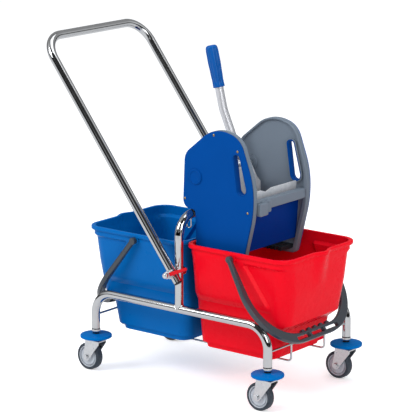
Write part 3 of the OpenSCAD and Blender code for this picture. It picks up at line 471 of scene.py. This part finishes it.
# Bucket walls as (height, setback of inner end, of outer end and of sides, inner and outer corner radius,
# reach of the spout)
BUCKET_LEVELS = (
    (0, 30, 88, 57, 26, 26, 0), (13, 28, 86, 55, 26, 26, 0), (15, 16.5, 70, 48.5, 30, 32, 0),
    (82, 14, 60, 42, 32, 32, 0), (107, 12, 27, 35, 33, 40, 0), (198, 10, 12, 24.5, 38, 46, 0),
    (270, 8, 8, 16, 38, 46, 11), (278, 6.5, 6.5, 6.5, 38, 46, 12), (304, 6.5, 6.5, 6.5, 38, 46, 13))
# Raised side panels as (height, outer edge, half width), the slant of that edge and its gap to the corner
PANEL_LEVELS = ((142, 292.5, 145.5), (146, 291, 148.5), (164, 283.7, 157.5), (280, 207.9, 169.3))
PANEL_END_FOOT, PANEL_END_TOP, PANEL_GAP = 1.0, 7.0, 8.0
# Heights at which the walls have a ring of points
BUCKET_HEIGHTS = (0, 2, 13, 15, 45, 82, 94, 107, 125, 141.9, 142, 146, 155, 164, 180, 198, 215, 235, 255, 270,
                  278, 285)
SPOUT_STEPS, CORNER_STEPS = 6, 10


def between(levels, height):
    """Values at a height, on straight lines between the levels."""
    for low, high in zip(levels, levels[1:]):
        if height <= high[0]:
            share = max(0, (height - low[0]) / (high[0] - low[0]))
            return [a + (b - a) * share for a, b in zip(low[1:], high[1:])]
    return list(levels[-1][1:])


def bucket_ring(height, inward, level=None):
    """Ring of points round a bucket at a height, moved inwards from the outer face."""
    inner, outer, sides, r_in, r_out, spout = level or between(BUCKET_LEVELS, height)
    x0, x1 = RIM_GAP + inner + inward, RIM_GAP + RIM_LEN - outer - inward
    y1 = RIM_W / 2 - sides - inward
    r_in, r_out = r_in - inward, r_out - inward
    panel_x, panel_y = between(PANEL_LEVELS, height)
    panel_x, panel_y = min(panel_x - inward, x1 - r_out - PANEL_GAP), panel_y - inward
    if height < PANEL_LEVELS[0][0] or height > BUCKET_H - BAND_H or level:
        panel_y = y1
    panel_y = max(panel_y, y1)
    quarter = [math.pi / 2 * k / CORNER_STEPS for k in range(CORNER_STEPS + 1)]
    half = [(x1 + spout * math.cos(math.pi * y / SPOUT_W) ** 2, y)
            for y in (SPOUT_W / 2 * k / SPOUT_STEPS for k in range(SPOUT_STEPS + 1))]
    half += [(x1 - r_out + r_out * math.cos(a), y1 - r_out + r_out * math.sin(a)) for a in quarter]
    half += [(panel_x + PANEL_END_FOOT, y1), (panel_x - PANEL_END_TOP, panel_y),
             ((panel_x + x0 + r_in) / 2, panel_y)]
    half += [(x0 + r_in - r_in * math.sin(a), panel_y - r_in + r_in * math.cos(a)) for a in quarter]
    ring = half + [(x, -y) for x, y in half[:0:-1]]
    return [Vector((x, y, BUCKET_FOOT_Z + height)) * MM for x, y in ring]


def mould_bucket(name, turn, material, body, slot):
    """A bucket's walls with their raised panels, foot and spout, its rolled rim and the lugs of its bail."""
    low, top = BUCKET_H - RIM_H, BUCKET_H
    # The rim as (setback, height), from under its lip over the top to the inner face
    rim = [(RIM_LIP, low), (3.0, low), (1.0, low + 0.7), (0.0, low + 2.5), (0.0, top - 3), (0.8, top - 1),
           (2.6, top), (RIM_LIP + 1.5, top), (RIM_LIP + BUCKET_WALL, top - 1)]
    corners_and_spout = BUCKET_LEVELS[-1][4:]
    inside = [h for h in BUCKET_HEIGHTS if h > BUCKET_WALL]
    rings = [bucket_ring(h, 0) for h in BUCKET_HEIGHTS]
    rings += [bucket_ring(h, 0, (edge, edge, edge, *corners_and_spout)) for edge, h in rim]
    rings += [bucket_ring(h, BUCKET_WALL) for h in (*inside[::-1], BUCKET_WALL)]
    shape = bmesh.new()
    skin_rings(shape, rings, False)
    for side in (-1, 1):
        lug = at(PIVOT_X, side * (RIM_W / 2 - LUG_SINK), PIVOT_Z) @ outwards(side)
        add_turning(shape, lug, [(LUG_R, 0), (LUG_R, LUG_H - LUG_EDGE), (LUG_R - LUG_EDGE, LUG_H)], 40)
    shape.transform(turn)
    new_piece(name + "_moulding", shape, material, body, slot, name)


# Bails

BAIL_REACH, BAIL_T, BAIL_EDGE, BAIL_IN, BAIL_OUT, BAIL_GRIP_W = 289.0, 14.0, 2.6, 178.0, 189.0, 29.0
# Spread of a bail's outer and inner edges over its reach, and their radii; the blue one clears the handle
RED_SPLAY, BLUE_SPLAY = (68.0, 36.0, 155.0, 130.0), (21.0, 5.0, 140.0, 118.0)
RAIL_BEND_R, BAIL_SEAT = 65.0, 0.3
GRIP_WINDOWS, GRIP_WINDOW_W, GRIP_WINDOW_H, GRIP_WINDOW_PITCH = 3, 57.0, 11.0, 66.0
GRIP_BORDER, GRIP_WINDOW_FILLET = 10.0, 3.0
GRIP_NUBS, GRIP_NUB_R, GRIP_NUB_H, GRIP_NUB_EDGE, GRIP_NUB_PITCH = 5, 8.0, 12.0, 2.0, 28.5
GRIP_NUB_SINK = 1.0
# Pivot eye and pin as (radius, height)
BAIL_EYE, BAIL_PIN = ((10, 0), (10, 9.5), (8.5, 11)), ((5, -9.5), (5, 1))


def mould_bail(name, turn, body, splay):
    """A bail with splayed legs, a ladder grip with windows and finger nubs, and its pivot eyes and pins."""
    throat = BAIL_REACH - BAIL_GRIP_W
    out_spread, in_spread, out_r, in_r = splay
    outer = rounded([(0, -BAIL_OUT, 0), (BAIL_REACH, -BAIL_OUT - out_spread, out_r),
                     (BAIL_REACH, BAIL_OUT + out_spread, out_r), (0, BAIL_OUT, 0)], 24)
    inner = rounded([(0, BAIL_IN, 0), (throat, BAIL_IN + in_spread, in_r),
                     (throat, -BAIL_IN - in_spread, in_r), (0, -BAIL_IN, 0)], 24)
    window_x = BAIL_REACH - GRIP_BORDER - GRIP_WINDOW_H / 2
    windows = [soft_box(window_x, (k - (GRIP_WINDOWS - 1) / 2) * GRIP_WINDOW_PITCH, GRIP_WINDOW_H,
                        GRIP_WINDOW_W, GRIP_WINDOW_FILLET, 5) for k in range(GRIP_WINDOWS)]
    # At rest the bail lies on the bend of the rail
    dx, dz = STEM_X - RAIL_BEND_R - PIVOT_X, PIVOT_Z - RAIL_Z + RAIL_BEND_R
    reach = RAIL_BEND_R + TUBE_R + BAIL_T / 2 + BAIL_SEAT
    lean = math.atan2(dx, dz) + math.asin(reach / math.hypot(dx, dz))
    place = turn @ at(PIVOT_X, 0, PIVOT_Z) @ Matrix.Rotation(math.pi / 2 - lean, 4, "Y")
    shape = bmesh.new()
    add_plate(shape, place, BAIL_T, BAIL_EDGE, outer + inner, *windows)
    nub_r, nub_h, edge = GRIP_NUB_R, GRIP_NUB_H / 2, GRIP_NUB_EDGE
    for k in range(GRIP_NUBS):
        nub = at(throat + GRIP_NUB_SINK, (k - (GRIP_NUBS - 1) / 2) * GRIP_NUB_PITCH, 0)
        add_turning(shape, place @ nub, [(nub_r - edge, -nub_h), (nub_r, edge - nub_h), (nub_r, nub_h - edge),
                                         (nub_r - edge, nub_h)], 32)
    for side in (-1, 1):
        eye = at(0, side * BAIL_IN, 0) @ outwards(side)
        add_turning(shape, place @ eye, BAIL_EYE, 40)
        add_turning(shape, place @ eye, BAIL_PIN, 24)
    new_piece(name + "_moulding", shape, BAIL_GREY, body, "grey_plastic", name)


# Sides of the wringer

SIDE_FOOT_Z, NOTCH_Z = -136.0, 12.8
# Outline of the wringer's sides about the hoop bar as (x, z, fillet radius), anticlockwise
SIDE_OUTLINE = (
    (19.5, SIDE_FOOT_Z, 12), (178, SIDE_FOOT_Z, 14), (217, 23, 300), (218, 108, 250), (172, 233, 64),
    (84, 258, 100), (-22, 171, 45), (-29, NOTCH_Z, 26), (15.5, NOTCH_Z, 10))
# Width of the grey wall's rim along each side of that outline, and how far the blue cover stays inside it
SIDE_RIMS, COVER_INSET = (13, 13, 13, 6.5, 6.5, 6.5, 6.5, 13, 13), 1
SLOT_TOP, SLOT_LOW = Vector((160, 177)), Vector((177, 94))
SLOT_TOP_R, SLOT_LOW_R, SLOT_ROUND = 10.5, 17.0, 0.9
SLOT_COLLAR_T, SLOT_FIT, SLOT_LINING_PROUD, COVER_SLOT_GROW = 3.0, 0.1, 0.8, 0.5
# Rounding of the edges of the cover, its slot lining, and the wall's web, rim and slot collar
COVER_EDGE, LINING_EDGE, WEB_EDGE, RIM_EDGE, COLLAR_EDGE = 1.4, 0.7, 0.3, 2.6, 1.2
AXLE_X, AXLE_Z, BUSH_HOLE_R, BOSS_R, BOSS_SINK = 18.0, 108.0, 13.1, 22.0, 1.0
# Boss over the axle as (setback, height)
BOSS_STEPS = ((0, 0), (0, 2.6), (0.7, 4.2), (1.8, 4.8), (4.5, 4.8), (5.4, 3.4), (6, 3.2))
SCREWS, SCREW_R, SCREW_HEAD_R, SCREW_LEN = ((82, 233), (164, 197), (-19.5, 42), (199, 29.6)), 2.5, 3.4, 12.0
WRINGER_Y, COVER_Y, WALL_Y, WEB_Y, RIM_LAP = 136.0, 131.0, 115.0, 122.0, 1.0


def hand_slot(grow):
    """Tapered hand slot with round ends, grown on all sides."""
    along = (SLOT_LOW - SLOT_TOP).normalized()
    across = Vector((-along.y, along.x))
    top_r, low_r = SLOT_TOP_R + grow, SLOT_LOW_R + grow
    top, low = SLOT_TOP - along * top_r, SLOT_LOW + along * low_r
    corners = ((top - across * top_r, top_r), (low - across * low_r, low_r), (low + across * low_r, low_r),
               (top + across * top_r, top_r))
    return rounded([(place.x, place.y, SLOT_ROUND * r) for place, r in corners], 12)


def mould_side(end, side):
    """The blue cover with its slot lining and axle boss, and the grey wall behind it with its rims."""
    def add_layer(shape, y0, y1, edge, outline, *holes):
        add_plate(shape, at(0, side * (y0 + y1) / 2, HOOP_Z) @ UPRIGHT, y1 - y0, edge, outline, *holes)

    whole = rounded(SIDE_OUTLINE)
    flat = rounded(inset(SIDE_OUTLINE, [COVER_INSET] * len(SIDE_OUTLINE)))
    rim_opening = rounded(inset(SIDE_OUTLINE, SIDE_RIMS))
    slot_hole = hand_slot(SLOT_COLLAR_T + SLOT_FIT)
    bush_hole = circle(AXLE_X, AXLE_Z, BUSH_HOLE_R)
    cover = bmesh.new()
    add_layer(cover, COVER_Y, WRINGER_Y, COVER_EDGE, flat, hand_slot(COVER_SLOT_GROW))
    add_layer(cover, WALL_Y, WRINGER_Y + SLOT_LINING_PROUD, LINING_EDGE, hand_slot(SLOT_COLLAR_T),
              hand_slot(0))
    boss = at(AXLE_X, side * (WRINGER_Y - BOSS_SINK), HOOP_Z + AXLE_Z) @ outwards(side)
    add_turning(cover, boss, [(BOSS_R - setback, height) for setback, height in BOSS_STEPS], 72)
    new_piece(end + "_cover_moulding", cover, COVER_BLUE, "wringer", "deep_blue_plastic", end + "_cover")
    wall = bmesh.new()
    add_layer(wall, WEB_Y, COVER_Y, WEB_EDGE, whole, slot_hole, bush_hole)
    add_layer(wall, WALL_Y, WEB_Y + RIM_LAP, RIM_EDGE, whole, rim_opening)
    add_layer(wall, WALL_Y, WEB_Y + RIM_LAP, COLLAR_EDGE, hand_slot(2 * SLOT_COLLAR_T), slot_hole)
    new_piece(end + "_side_wall_moulding", wall, WALL_GREY, "wringer", "grey_plastic", end + "_side_wall")


def turn_screws():
    """The raised countersunk screws that hold the covers."""
    head = SCREW_HEAD_R
    profile = [(SCREW_R, -SCREW_LEN), (SCREW_R, -1), (head, -0.2), (head, 0.6), (0.8 * head, 1.3),
               (0.45 * head, 1.6), (0.4 * head, 0.7)]
    shape = bmesh.new()
    for side in (-1, 1):
        for x, z in SCREWS:
            add_turning(shape, at(x, side * WRINGER_Y, HOOP_Z + z) @ outwards(side), profile, 28)
    new_piece("cover_screw_heads", shape, PASSIVATED, "wringer", "brass_screws", "cover_screws")


# Clamp levers of the push handle

CLAMP_Z, CLAMP_Y, CLAMP_T, CLAMP_ANGLE = 346.3, 231.3, 14.0, 23.0
# Hub as (radius, height), and arm as (x, y, fillet radius)
CLAMP_HUB = ((4.2, -7), (9, -7), (10.5, -5.5), (10.5, -4.5), (9.6, -3.5), (9.6, 3.5), (10.5, 4.5),
             (10.5, 5.5), (9, 7), (4.2, 7))
CLAMP_ARM = ((9.2, -5.5, 0), (64, -4.6, 3), (72, -4.2, 3.5), (72, 4.2, 3.5), (64, 4.6, 3), (9.2, 5.5, 0))
CLAMP_ARM_T, CLAMP_ARM_EDGE = 8.0, 2.2


def make_clamp_lever(end, side):
    """A clamp lever: a plated hub on the bolt and a slim red arm that grows out of it."""
    tilt = Matrix.Rotation(-math.radians(CLAMP_ANGLE), 4, "Y")
    place = at(0, side * (CLAMP_Y + CLAMP_T / 2), CLAMP_Z) @ tilt @ UPRIGHT
    hub = bmesh.new()
    add_turning(hub, place, CLAMP_HUB, 48, True)
    new_piece(end + "_clamp_hub", hub, ZINC, end + "_clamp", "zinc_steel", end + "_clamp_lever")
    arm = bmesh.new()
    add_plate(arm, place, CLAMP_ARM_T, CLAMP_ARM_EDGE, rounded(CLAMP_ARM, 6))
    new_piece(end + "_clamp_arm", arm, LEVER_RED, end + "_clamp", "red_plastic", end + "_clamp_lever")


# Catch, counter plate and grille of the wringer

CROSSBAR_FACE_X = 212.0
# Lobes of the catch as (middle y, middle z, width, height, thickness)
CATCH_LOBES, CATCH_FILLET, CATCH_EDGE = (
    ((-94, 36, 38, 36, 14), (-65, 41, 15, 34, 11), (-77, 50, 34, 12, 7)), 5, 2.5)
END_WALL_X, END_WALL_Z, END_WALL_TILT, END_WALL_T = 183.0, 10.0, 4.4, 4.0
# Outline of the counter plate as (y, z, fillet radius), its thickness and its edge
PRESS_OUTLINE, PRESS_T, PRESS_EDGE = (
    ((-112, -60, 3), (112, -60, 3), (112, 68, 6), (-8, 68, 12), (-32, 60, 10), (-56, 68, 12), (-112, 68, 6)),
    2.0, 0.4)
GRILLE_X, GRILLE_END_X, GRILLE_Z, GRILLE_H = 32.8, 168.0, -121.0, 11.0
GRILLE_BRIDGE, GRILLE_EDGE = 26.0, 0.6
COMB_W, COMB_EDGE, COMB_SLOT, COMB_PITCH, COMB_SLOTS = 60.0, 12.0, 7.0, 13.0, 7


def make_catch():
    """The crossbar's catch: three soft-edged lobes on the bar's outer face."""
    shape = bmesh.new()
    for y, z, width, height, thickness in CATCH_LOBES:
        add_plate(shape, at(CROSSBAR_FACE_X + thickness / 2, 0, HOOP_Z) @ ACROSS, thickness, CATCH_EDGE,
                  soft_box(y, z, width, height, CATCH_FILLET, 6))
    new_piece("crossbar_catch_moulding", shape, WALL_GREY, "wringer", "grey_plastic", "crossbar_catch")


def cut_counter_plate():
    """The galvanised plate that the jaw presses against, dipped at its top edge."""
    shape = bmesh.new()
    tilt = Matrix.Rotation(math.radians(END_WALL_TILT), 4, "Y")
    lean = at(END_WALL_X, 0, HOOP_Z + END_WALL_Z) @ tilt
    add_plate(shape, lean @ at(-END_WALL_T - PRESS_T / 2, 0, 0) @ ACROSS, PRESS_T, PRESS_EDGE,
              rounded(PRESS_OUTLINE))
    new_piece("counter_plate_sheet", shape, GALVANISED, "wringer", "galvanised_sheet", "counter_plate")


def mould_grille():
    """The drain grille: two combs along the side walls, joined by a bridge at the inner end."""
    comb_x = GRILLE_X + GRILLE_BRIDGE
    first = (comb_x + GRILLE_END_X - (COMB_SLOTS - 1) * COMB_PITCH) / 2
    tips, roots = WEB_Y - COMB_W, WEB_Y - COMB_EDGE
    half = [(GRILLE_X, WEB_Y), (GRILLE_END_X, WEB_Y), (GRILLE_END_X, tips)]
    for k in reversed(range(COMB_SLOTS)):
        low, high = first + k * COMB_PITCH - COMB_SLOT / 2, first + k * COMB_PITCH + COMB_SLOT / 2
        half += [(high, tips), (high, roots), (low, roots), (low, tips)]
    half.append((comb_x, tips))
    shape = bmesh.new()
    add_plate(shape, at(0, 0, HOOP_Z + GRILLE_Z + GRILLE_H / 2), GRILLE_H, GRILLE_EDGE,
              [Vector((x, -y)) for x, y in half] + [Vector(point) for point in half[::-1]])
    new_piece("drain_grille_combs", shape, SHADE_PAINTED_GRILLE, "wringer", "grey_plastic", "drain_grille")


# Casters

WHEEL_R, TYRE_W, TYRE_T, CASTER_TRAIL, AXLE_R = 40.0, 26.0, 8.5, 24.0, 4.05
# Radius of a stem's sleeve, and of the collar ring round it, with the ring's lower and upper end
SLEEVE_R, COLLAR_R, COLLAR_LOW_Z, COLLAR_TOP_Z = 12.0, 13.0, 117.5, 125.6


def turn_wheel(corner, end, side):
    """A wheel: a grey disc with a deep groove inside its rim, and a tyre with rounded shoulders."""
    place = at(end * STEM_X - CASTER_TRAIL, side * POST_Y, WHEEL_R) @ UPRIGHT
    hub_r, face, tyre_y = WHEEL_R - TYRE_T, TYRE_W / 2 - 2, TYRE_W / 2
    half = [(AXLE_R, face + 1.5), (10, face + 1.5), (11, face + 0.6), (12.5, face - 2),
            (hub_r - 7, face - 0.8), (hub_r - 6, face - 1.6), (hub_r - 5.5, face - 6), (hub_r - 3, face - 6),
            (hub_r - 2.6, face - 0.5), (hub_r - 2, face), (hub_r, face)]
    hub = bmesh.new()
    add_turning(hub, place, half + [(r, -h) for r, h in half[::-1]], 72, True)
    new_piece(corner + "_wheel_disc", hub, HUB_GREY, corner + "_wheel", "wheel_disc", corner + "_hub")
    section = rounded([(hub_r, -face, 0.5), (hub_r + 2, -tyre_y, 1.5), (WHEEL_R, -tyre_y, 6),
                       (WHEEL_R, tyre_y, 6), (hub_r + 2, tyre_y, 1.5), (hub_r, face, 0.5)], 6)
    tyre = bmesh.new()
    add_turning(tyre, place, section, 96, True)
    new_piece(corner + "_tyre_ring", tyre, RUBBER, corner + "_wheel", "tyre_rubber", corner + "_tyre")


def turn_collar(corner, end, side):
    """A bright ring round the caster's black sleeve, which leaves a bare strip of sleeve under the leg's end
    as a painted shadow line.
    """
    section = rounded([(SLEEVE_R, COLLAR_LOW_Z, 0.1), (COLLAR_R, COLLAR_LOW_Z, 0.6),
                       (COLLAR_R, COLLAR_TOP_Z, 0.6), (SLEEVE_R, COLLAR_TOP_Z, 0.1)], 4)
    ring = bmesh.new()
    add_turning(ring, at(end * STEM_X, side * POST_Y, 0), section, 64, True)
    new_piece(corner + "_collar_ring", ring, CHROME, "frame", "zinc_steel")


# Grip of the pressing lever

LEVER_FOOT = Vector((18.0, 76.0, 609.8))
# Lower and upper part of the lever as (length, lean in degrees)
LEVER_LOW, LEVER_HIGH = (164.0, 24.0), (187.0, 14.0)
GRIP_LEN, GRIP_R, GRIP_BORE_R = 122.0, 18.5, 12.6
GRIP_FLUTES, GRIP_FLUTE_DEPTH, GRIP_SIDES = 8, 2.4, 96
# Swell of the grip as (share of its length, change of radius), and its rolled mouth as (radius, height)
GRIP_SWELL = ((0.0, -1.5), (0.15, -2.2), (0.35, -1.3), (0.6, -0.2), (0.85, -0.4), (1.0, -2.0))
GRIP_MOUTH = ((GRIP_BORE_R, 0.0), (GRIP_R - 4.0, 0.0), (GRIP_R - 2.2, 0.7), (GRIP_R - 1.5, 2.5))
GRIP_STEPS, GRIP_END_STEPS, GRIP_TIP_R = 32, 8, 2.0
# Shares of the length: where the swell starts and how long it is, and where the flutes fade in and out
SWELL_START, SWELL_LENGTH, FLUTES_IN, FLUTES_OUT = 0.02, 0.9, (0.04, 0.13), (0.86, 0.97)


def grip_profile():
    """The grip's (radius, height) pairs before it is fluted, from its mouth to its rounded end."""
    profile = list(GRIP_MOUTH)
    for k in range(1, GRIP_STEPS + 1):
        share = SWELL_START + SWELL_LENGTH * k / GRIP_STEPS
        (s0, r0), (s1, r1) = next((a, b) for a, b in zip(GRIP_SWELL, GRIP_SWELL[1:]) if a[0] <= share <= b[0])
        profile.append((GRIP_R + r0 + (r1 - r0) * smooth(s0, s1, share), share * GRIP_LEN))
    edge_r, edge_z = profile[-1]
    rise = GRIP_LEN - edge_z
    profile += [(edge_r - rise * (1 - math.cos(a)), edge_z + rise * math.sin(a))
                for a in (math.pi / 2 * j / GRIP_END_STEPS for j in range(1, GRIP_END_STEPS + 1))]
    return profile + [(GRIP_TIP_R, GRIP_LEN)]


def flute_grip():
    """The lever's vinyl grip with shallow finger flutes, a rolled mouth and a rounded end."""
    (low_len, low_lean), (high_len, high_lean) = LEVER_LOW, LEVER_HIGH
    low_turn, high_turn = (Matrix.Rotation(-math.radians(lean), 3, "Y") for lean in (low_lean, high_lean))
    foot = LEVER_FOOT + low_turn @ Vector((0, 0, low_len)) + high_turn @ Vector((0, 0, high_len - GRIP_LEN))
    rings = []
    for radius, height in grip_profile():
        share = height / GRIP_LEN
        depth = GRIP_FLUTE_DEPTH * smooth(*FLUTES_IN, share) * (1 - smooth(*FLUTES_OUT, share))
        ring = []
        for a in (math.tau * j / GRIP_SIDES for j in range(GRIP_SIDES)):
            r = radius - depth * (0.5 - 0.5 * math.cos(GRIP_FLUTES * a)) ** 2
            ring.append((foot + high_turn @ Vector((r * math.cos(a), r * math.sin(a), height))) * MM)
        rings.append(ring)
    shape = bmesh.new()
    skin_rings(shape, rings, False)
    new_piece("fluted_lever_grip", shape, GRIP_BLUE, "press", "deep_blue_plastic", "lever_grip")


def dress_solids():
    """Makes every piece that stands for a plainer solid, and the collar rings."""
    half_turn = Matrix.Rotation(math.pi, 4, "Z")
    mould_bucket("red_bucket", Matrix.Identity(4), BUCKET_RED, "red_pail", "red_plastic")
    mould_bucket("blue_bucket", half_turn, BUCKET_BLUE, "blue_pail", "blue_plastic")
    mould_bail("red_bail", Matrix.Identity(4), "red_carrier", RED_SPLAY)
    mould_bail("blue_bail", half_turn, "blue_carrier", BLUE_SPLAY)
    for end, side in (("front", -1), ("back", 1)):
        mould_side(end, side)
        make_clamp_lever(end, side)
        for turn_piece in (turn_wheel, turn_collar):
            turn_piece(end + "_left", -1, side)
            turn_piece(end + "_right", 1, side)
    turn_screws()
    make_catch()
    mould_grille()
    cut_counter_plate()
    flute_grip()


# Studio, in metres

FLOOR_R, FLOOR_DROP, FLOOR_GLOW = 30, 0.1 * MM, 0.42
# Direction of the unlit side of the room, and the lamps as (name, place, size, watts)
DARK_SIDE = (0.617, -0.787, 0)
LAMPS = (("key_lamp", (-1.6, -3.0, 3.0), 2.0, 84), ("fill_lamp", (3.2, -1.4, 2.0), 1.8, 40),
         ("top_lamp", (0.2, 0.4, 3.6), 2.2, 30))
LAMP_AIM = Vector((0, 0, 0.4))
# Brightness of the room that the metal mirrors as (share, level), towards the dark side and from floor to top
ROOM_WALLS = ((0.0, 0.36), (0.3, 0.4), (0.42, 0.72), (0.5, 0.88), (0.6, 0.8), (0.66, 0.06), (0.85, 0.04),
              (0.9, 0.04), (0.915, 0.5), (0.935, 0.5), (0.95, 0.05), (1.0, 0.08))
ROOM_RISE = ((0.49, 1.0), (0.51, 0.08), (0.58, 0.06), (0.63, 1.0), (0.85, 1.0), (0.95, 0.5))
SOFT_LIGHT, WHITE = [0.6, 0.61, 0.63, 1], linear("#FFFFFF")


def place_floor():
    """White paper that keeps the trolley's shadow, and is paler to the camera than to mirrors."""
    mesh = bpy.data.meshes.new("floor")
    shape = bmesh.new()
    bmesh.ops.create_circle(shape, cap_ends=True, segments=96, radius=FLOOR_R)
    shape.to_mesh(mesh)
    shape.free()
    floor = bpy.data.objects.new("floor", mesh)
    scene.collection.objects.link(floor)
    floor.location.z = cad_box[0].z - FLOOR_DROP
    material, tree, shader, _ = new_material("white_studio_paper")
    ray = add(tree, "ShaderNodeLightPath")
    seen = add(tree, "ShaderNodeMath", {0: ray.outputs["Is Camera Ray"], 1: ray.outputs["Is Glossy Ray"]},
               operation="MAXIMUM", use_clamp=True)
    mirrored = add(tree, "ShaderNodeMix", {0: ray.outputs["Is Glossy Ray"], 6: linear("#EBEBEB"),
                                           7: linear("#B8B8B8")}, data_type="RGBA")
    paper = add(tree, "ShaderNodeMix", {0: ray.outputs["Is Camera Ray"], 6: mirrored.outputs[2], 7: WHITE},
                data_type="RGBA")
    tree.links.new(paper.outputs[2], shader.inputs["Base Color"])
    glow = add(tree, "ShaderNodeMath", {0: seen.outputs[0], 1: FLOOR_GLOW}, operation="MULTIPLY")
    tree.links.new(glow.outputs[0], shader.inputs["Emission Strength"])
    shader.inputs["Emission Color"].default_value = WHITE
    shader.inputs["Roughness"].default_value = 1
    shader.inputs["Specular IOR Level"].default_value = 0
    mesh.materials.append(material)


def light_studio():
    """Pale walls above a dark skirting line, a dark side with one lit strip, and three soft lamps."""
    world = bpy.data.worlds.new("studio")
    scene.world = world
    world.use_nodes = True
    tree = world.node_tree
    tree.nodes.clear()
    way = add(tree, "ShaderNodeTexCoord").outputs["Generated"]
    facing = add(tree, "ShaderNodeVectorMath", {0: way, 1: DARK_SIDE}, operation="DOT_PRODUCT")
    turned = add(tree, "ShaderNodeMapRange", {"Value": facing.outputs["Value"], "From Min": -1.0})
    walls = ramp(tree, turned.outputs["Result"], ROOM_WALLS)
    up = add(tree, "ShaderNodeSeparateXYZ", {"Vector": way}).outputs["Z"]
    height = add(tree, "ShaderNodeMapRange", {"Value": up, "From Min": -1.0})
    rise = ramp(tree, height.outputs["Result"], ROOM_RISE)
    room = add(tree, "ShaderNodeMix", {0: 1.0, 6: walls, 7: rise}, data_type="RGBA", blend_type="MULTIPLY")
    ray = add(tree, "ShaderNodeLightPath")
    mirrored = add(tree, "ShaderNodeMix", {0: ray.outputs["Is Glossy Ray"], 6: SOFT_LIGHT,
                                           7: room.outputs[2]}, data_type="RGBA")
    seen = add(tree, "ShaderNodeMix", {0: ray.outputs["Is Camera Ray"], 6: mirrored.outputs[2], 7: WHITE},
               data_type="RGBA")
    sky = add(tree, "ShaderNodeBackground", {"Color": seen.outputs[2], "Strength": 1.0})
    add(tree, "ShaderNodeOutputWorld", {"Surface": sky.outputs["Background"]})
    for name, place, size, power in LAMPS:
        lamp = bpy.data.lights.new(name, "AREA")
        lamp.energy, lamp.size = power, size
        stand = bpy.data.objects.new(name, lamp)
        scene.collection.objects.link(stand)
        stand.location = place
        stand.rotation_euler = (LAMP_AIM - Vector(place)).to_track_quat("-Z", "Y").to_euler()


place_camera()
finish_nodes()
weld_frame()
dress_solids()
place_floor()
light_studio()
scene.view_settings.view_transform = "Standard"
